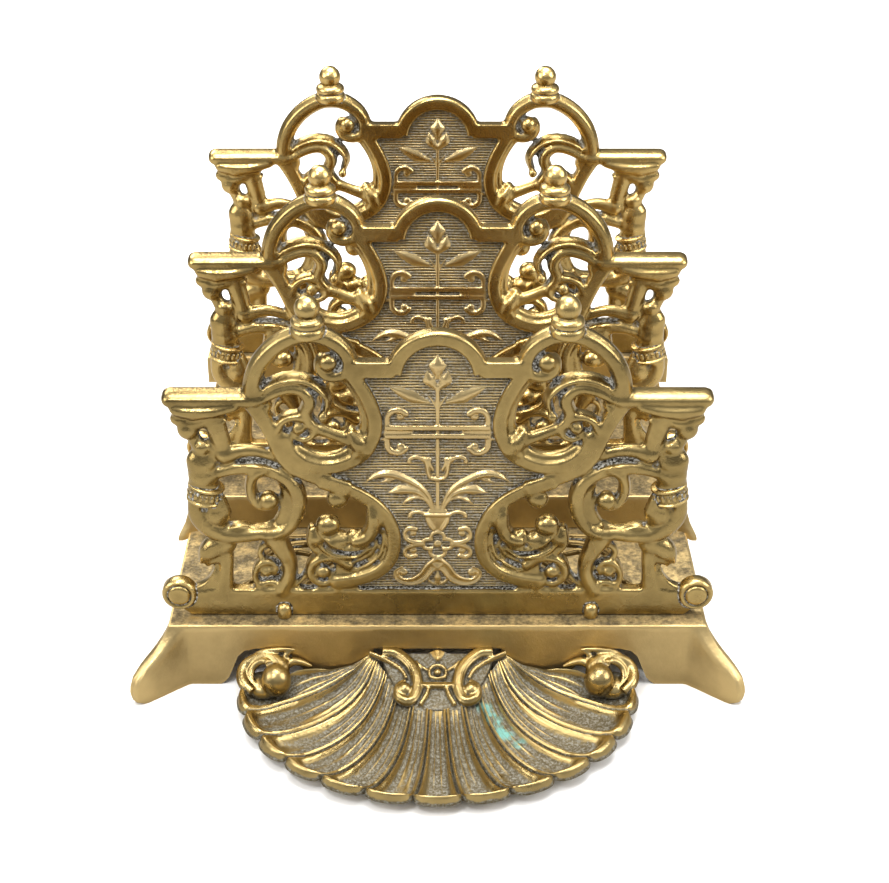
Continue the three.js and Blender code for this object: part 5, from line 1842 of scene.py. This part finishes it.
    def lyre(self) -> Work:
        """Ground and scrolls of the lyre, run together as one casting.

        Returns:
            The mesh in the making.
        """
        work = Work()
        *others, first = [(-x, y) for x, y in reversed(self.lyre_ground)]
        ground = [first, *self.lyre_ground, *others]
        verts = [work.bm.verts.new((x, y, self.slope(x, y) - self.lyre_sunk)) for x, y in ground]
        face = work.bm.faces.new(verts)
        grown = bmesh.ops.extrude_face_region(work.bm, geom=[face], use_keep_orig=True)["geom"]
        for g in grown:
            if isinstance(g, bmesh.types.BMVert):
                g.co.z = self.lyre_foot
        half = Work()
        for stroke in LYRE:
            half.flat_stroke(stroke, self.slope)
        for x, y, radius in self.lyre_bosses:
            spot = Matrix.Translation((x, y, self.slope(x, y) + self.boss_rise))
            half.sphere(spot, segments=18, radius=radius)
        half.mirror()
        work.take(half)
        casting = work.fuse(self.lyre_voxel, smoothing=2)
        hollow = casting.bm.verts.layers.float.new("hollow")
        for vert in casting.bm.verts:
            over = vert.co.z - self.slope(vert.co.x, vert.co.y)
            vert[hollow] = reading(self.lyre_hollow, over)
        return casting

    def volutes(self) -> Work:
        """The rolled end of the shell on each side: two bands that wind into a bulb, with a
        leaf tip behind them.

        Returns:
            The mesh in the making.
        """
        side = Work()
        for stroke in VOLUTE:
            side.band(stroke)
        for bulb in VOLUTE_BULBS:
            side.ball(bulb, segments=28)
        side.mirror()
        return side.fuse(self.volute_voxel, smoothing=2)

    def place(self, material: bpy.types.Material) -> None:
        """Puts the dish into the scene.

        Args:
            material: its finish.
        """
        parts = {
            "shell_bowl": self.bowl().mesh("bowl", smooth_angle=60),
            "shell_lyre": self.lyre().mesh("lyre", smooth_angle=60),
            "shell_volutes": self.volutes().mesh("ends", smooth_angle=60),
        }
        for mesh in parts.values():
            self.patina.write(mesh, [m for m in parts.values() if m is not mesh])
        for name, mesh in parts.items():
            piece(mesh, name, "shell_dish", material)


@dataclass(frozen=True)
class Lamp:
    """A softbox, with its place and size in metres and its power in watts."""

    name: str
    place: tuple[float, float, float]
    size: float
    power: float
    colour: tuple[float, float, float]

    def set_up(self, target: Vector) -> None:
        """Puts the lamp into the scene.

        Args:
            target: what it looks at.
        """
        light = bpy.data.lights.new(self.name, "AREA")
        light.size = self.size
        light.energy = self.power
        light.color = self.colour
        lamp = bpy.data.objects.new(self.name, light)
        lamp.location = self.place
        aim = target - Vector(self.place)
        lamp.rotation_euler = aim.to_track_quat("-Z", "Y").to_euler()
        bpy.context.scene.collection.objects.link(lamp)


@dataclass
class Studio:
    """White floor, lamps and the camera of the photo.

    The camera's place is in millimetres in the rack's frame, and its pitch in degrees.
    """

    floor_width: float = 6.0
    floor_seen: Colour = (0.9, 0.9, 0.9, 1)
    floor_mirrored: Colour = (0.36, 0.35, 0.33, 1)
    sky_high: tuple[float, float] = (0.05, 0.8)
    sky_rear: tuple[float, float] = (0.1, 0.8)
    sky_low_light: float = 0.24
    sky_high_light: float = 0.72
    sky_rear_light: float = -0.6
    target: tuple[float, float, float] = (0, 0.03, 0.06)
    lamps: tuple[Lamp, ...] = (
        Lamp("lamp_over", (0.05, 0.1, 1.1), 0.8, 19.0, (1, 0.98, 0.95)),
        Lamp("lamp_left", (-0.95, -0.35, 0.55), 0.6, 5.0, (1, 0.97, 0.92)),
        Lamp("lamp_right", (0.95, -0.25, 0.6), 0.6, 6.0, (1, 0.98, 0.95)),
        Lamp("lamp_rear", (-0.55, 1.0, 0.85), 0.6, 8.0, (1, 0.95, 0.86)),
        Lamp("lamp_glint", (-0.3, -0.55, 0.95), 0.18, 4.0, (1, 0.99, 0.97)),
    )
    focal: float = 68.95
    pitch: float = 59.62
    camera_back: float = -472.72
    camera_up: float = 375.77
    shift: float = 0.00773

    def build(self) -> None:
        """Makes the floor, the world, the lamps and the camera."""
        self._floor()
        self._world()
        for lamp in self.lamps:
            lamp.set_up(Vector(self.target))
        self._camera()

    def _floor(self) -> None:
        """A white sheet, which the brass mirrors darker than the eye sees it."""
        mesh = bpy.data.meshes.new("studio_floor")
        bm = bmesh.new()
        bmesh.ops.create_grid(bm, x_segments=1, y_segments=1, size=self.floor_width / 2)
        bm.to_mesh(mesh)
        bm.free()
        sheet = bpy.data.materials.new("studio_sheet")
        sheet.use_nodes = True
        tree = Shader(sheet.node_tree)
        mirrored = tree.node("LightPath").outputs["Is Glossy Ray"]
        shade = tree.mix(mirrored, self.floor_seen, self.floor_mirrored)
        lit = tree.node("BsdfDiffuse", {"Color": shade})
        tree.node("OutputMaterial", {"Surface": lit.outputs[0]})
        mesh.materials.append(sheet)
        floor = bpy.data.objects.new("studio_floor", mesh)
        bpy.context.scene.collection.objects.link(floor)

    def _world(self) -> None:
        """White all round to the eye; its light comes mostly from above and in front."""
        world = bpy.data.worlds.new("studio")
        bpy.context.scene.world = world
        world.use_nodes = True
        tree = Shader(world.node_tree)
        way = tree.node("SeparateXYZ", {0: tree.node("TexCoord").outputs["Generated"]})
        high = tree.ramp(way.outputs["Z"], *self.sky_high)
        rear = tree.ramp(way.outputs["Y"], *self.sky_rear)
        light = tree.maths("MULTIPLY_ADD", high, self.sky_high_light, self.sky_low_light)
        dimmed = tree.maths("MULTIPLY_ADD", rear, self.sky_rear_light, 1)
        light = tree.maths("MULTIPLY", light, dimmed)
        seen = tree.node("LightPath").outputs["Is Camera Ray"]
        strength = tree.maths("MAXIMUM", light, seen)
        glow = tree.node("Background", {"Color": (1, 1, 1, 1), "Strength": strength})
        tree.node("OutputWorld", {"Surface": glow.outputs[0]})

    def _camera(self) -> None:
        """The camera that took the photo."""
        lens = bpy.data.cameras.new("photo_camera")
        lens.sensor_width = SENSOR_WIDTH
        lens.lens = self.focal
        lens.shift_x = self.shift
        camera = bpy.data.objects.new("photo_camera", lens)
        camera.location = (0, (APRON_Y + self.camera_back) * MM, self.camera_up * MM)
        camera.rotation_euler = (math.radians(self.pitch), 0, 0)
        bpy.context.scene.collection.objects.link(camera)
        bpy.context.scene.camera = camera


FINISHES = (
    # The front panel's brass: a darker copy with more corner darkening, grime and painted shade for
    # the dark seen through its openings.
    AgedBrass("brass_front_shaded", bright=(0.5, 0.37, 0.15, 1), worn=(0.22, 0.158, 0.062, 1),
              grime_and_shade=1.25, chalk=1.1, sheen=0.27),
    # The rear panels' brass: a lighter, more golden copy, painted light for the light they catch
    # from behind.
    AgedBrass("brass_rear_lit", bright=(0.66, 0.475, 0.185, 1), worn=(0.3, 0.212, 0.08, 1),
              grime_and_shade=0.95, chalk=0.9, sheen=0.25),
    AgedBrass("brass_ground", bright=(0.8, 0.62, 0.31, 1), worn=(0.46, 0.34, 0.16, 1),
              grime_and_shade=0.7, chalk=0.6, sheen=0.28),
    # The plate's brass: its faces that look up get painted shade.
    AgedBrass("brass_plate", bright=(0.66, 0.50, 0.235, 1), worn=(0.46, 0.34, 0.155, 1),
              grime_and_shade=0.9, chalk=0.08, sheen=0.42, top_shade=0.48),
    AgedBrass("brass_turned", grime_and_shade=0.3, chalk=0.0, sheen=0.34),
    # The floor leaves' brass: a much darker copy, painted shade for the floor under the front panel.
    AgedBrass("brass_floor_shaded", bright=(0.2, 0.14, 0.055, 1), worn=(0.09, 0.064, 0.028, 1),
              chalk=0.8, sheen=0.42),
    AgedBrass("brass_shell", bright=(0.50, 0.375, 0.16, 1), worn=(0.24, 0.18, 0.08, 1),
              dark=(0.06, 0.05, 0.03, 1), residue=(0.46, 0.47, 0.43, 1), grime_and_shade=0.85, chalk=0.42,
              green=0.9, sheen=0.28,
              stains=((15.5, -19.5, 3.2), (18.5, -24.5, 3.2), (22.5, -30, 3.4), (27, -35, 2.6))),
)

TIERS = {
    "base": BracketBase(half=93, front=0, back=167, top=25),
    "middle_step": LappedTier(half=92.3, front=61.4, back=166.3, top=39, lap=25.3),
    "rear_step": LappedTier(half=95, front=149.9, back=166.3, top=51, lap=39.3, reach=0.01, drop=0),
}


def main() -> None:
    """Builds the rack and its studio."""
    logging.basicConfig(level=logging.INFO)
    bpy.context.scene.view_settings.view_transform = "Standard"
    group = PatinaGroup().build()
    brass = {finish.name: finish.material(group) for finish in FINISHES}
    panels = {
        "front_panel": brass["brass_front_shaded"],
        "middle_panel": brass["brass_rear_lit"],
        "rear_panel": brass["brass_rear_lit"],
    }
    ScrollPanel().place(panels, brass["brass_ground"])
    for node, tier in TIERS.items():
        tier.place(node, brass["brass_plate"])
    FloorLeaves().place(brass["brass_floor_shaded"])
    ShellDish().place(brass["brass_shell"])
    for name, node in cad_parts.items():
        if "screw" in name:
            node.material_slots[0].material = brass["brass_turned"]
    Studio().build()


if __name__ == "__main__":
    main()
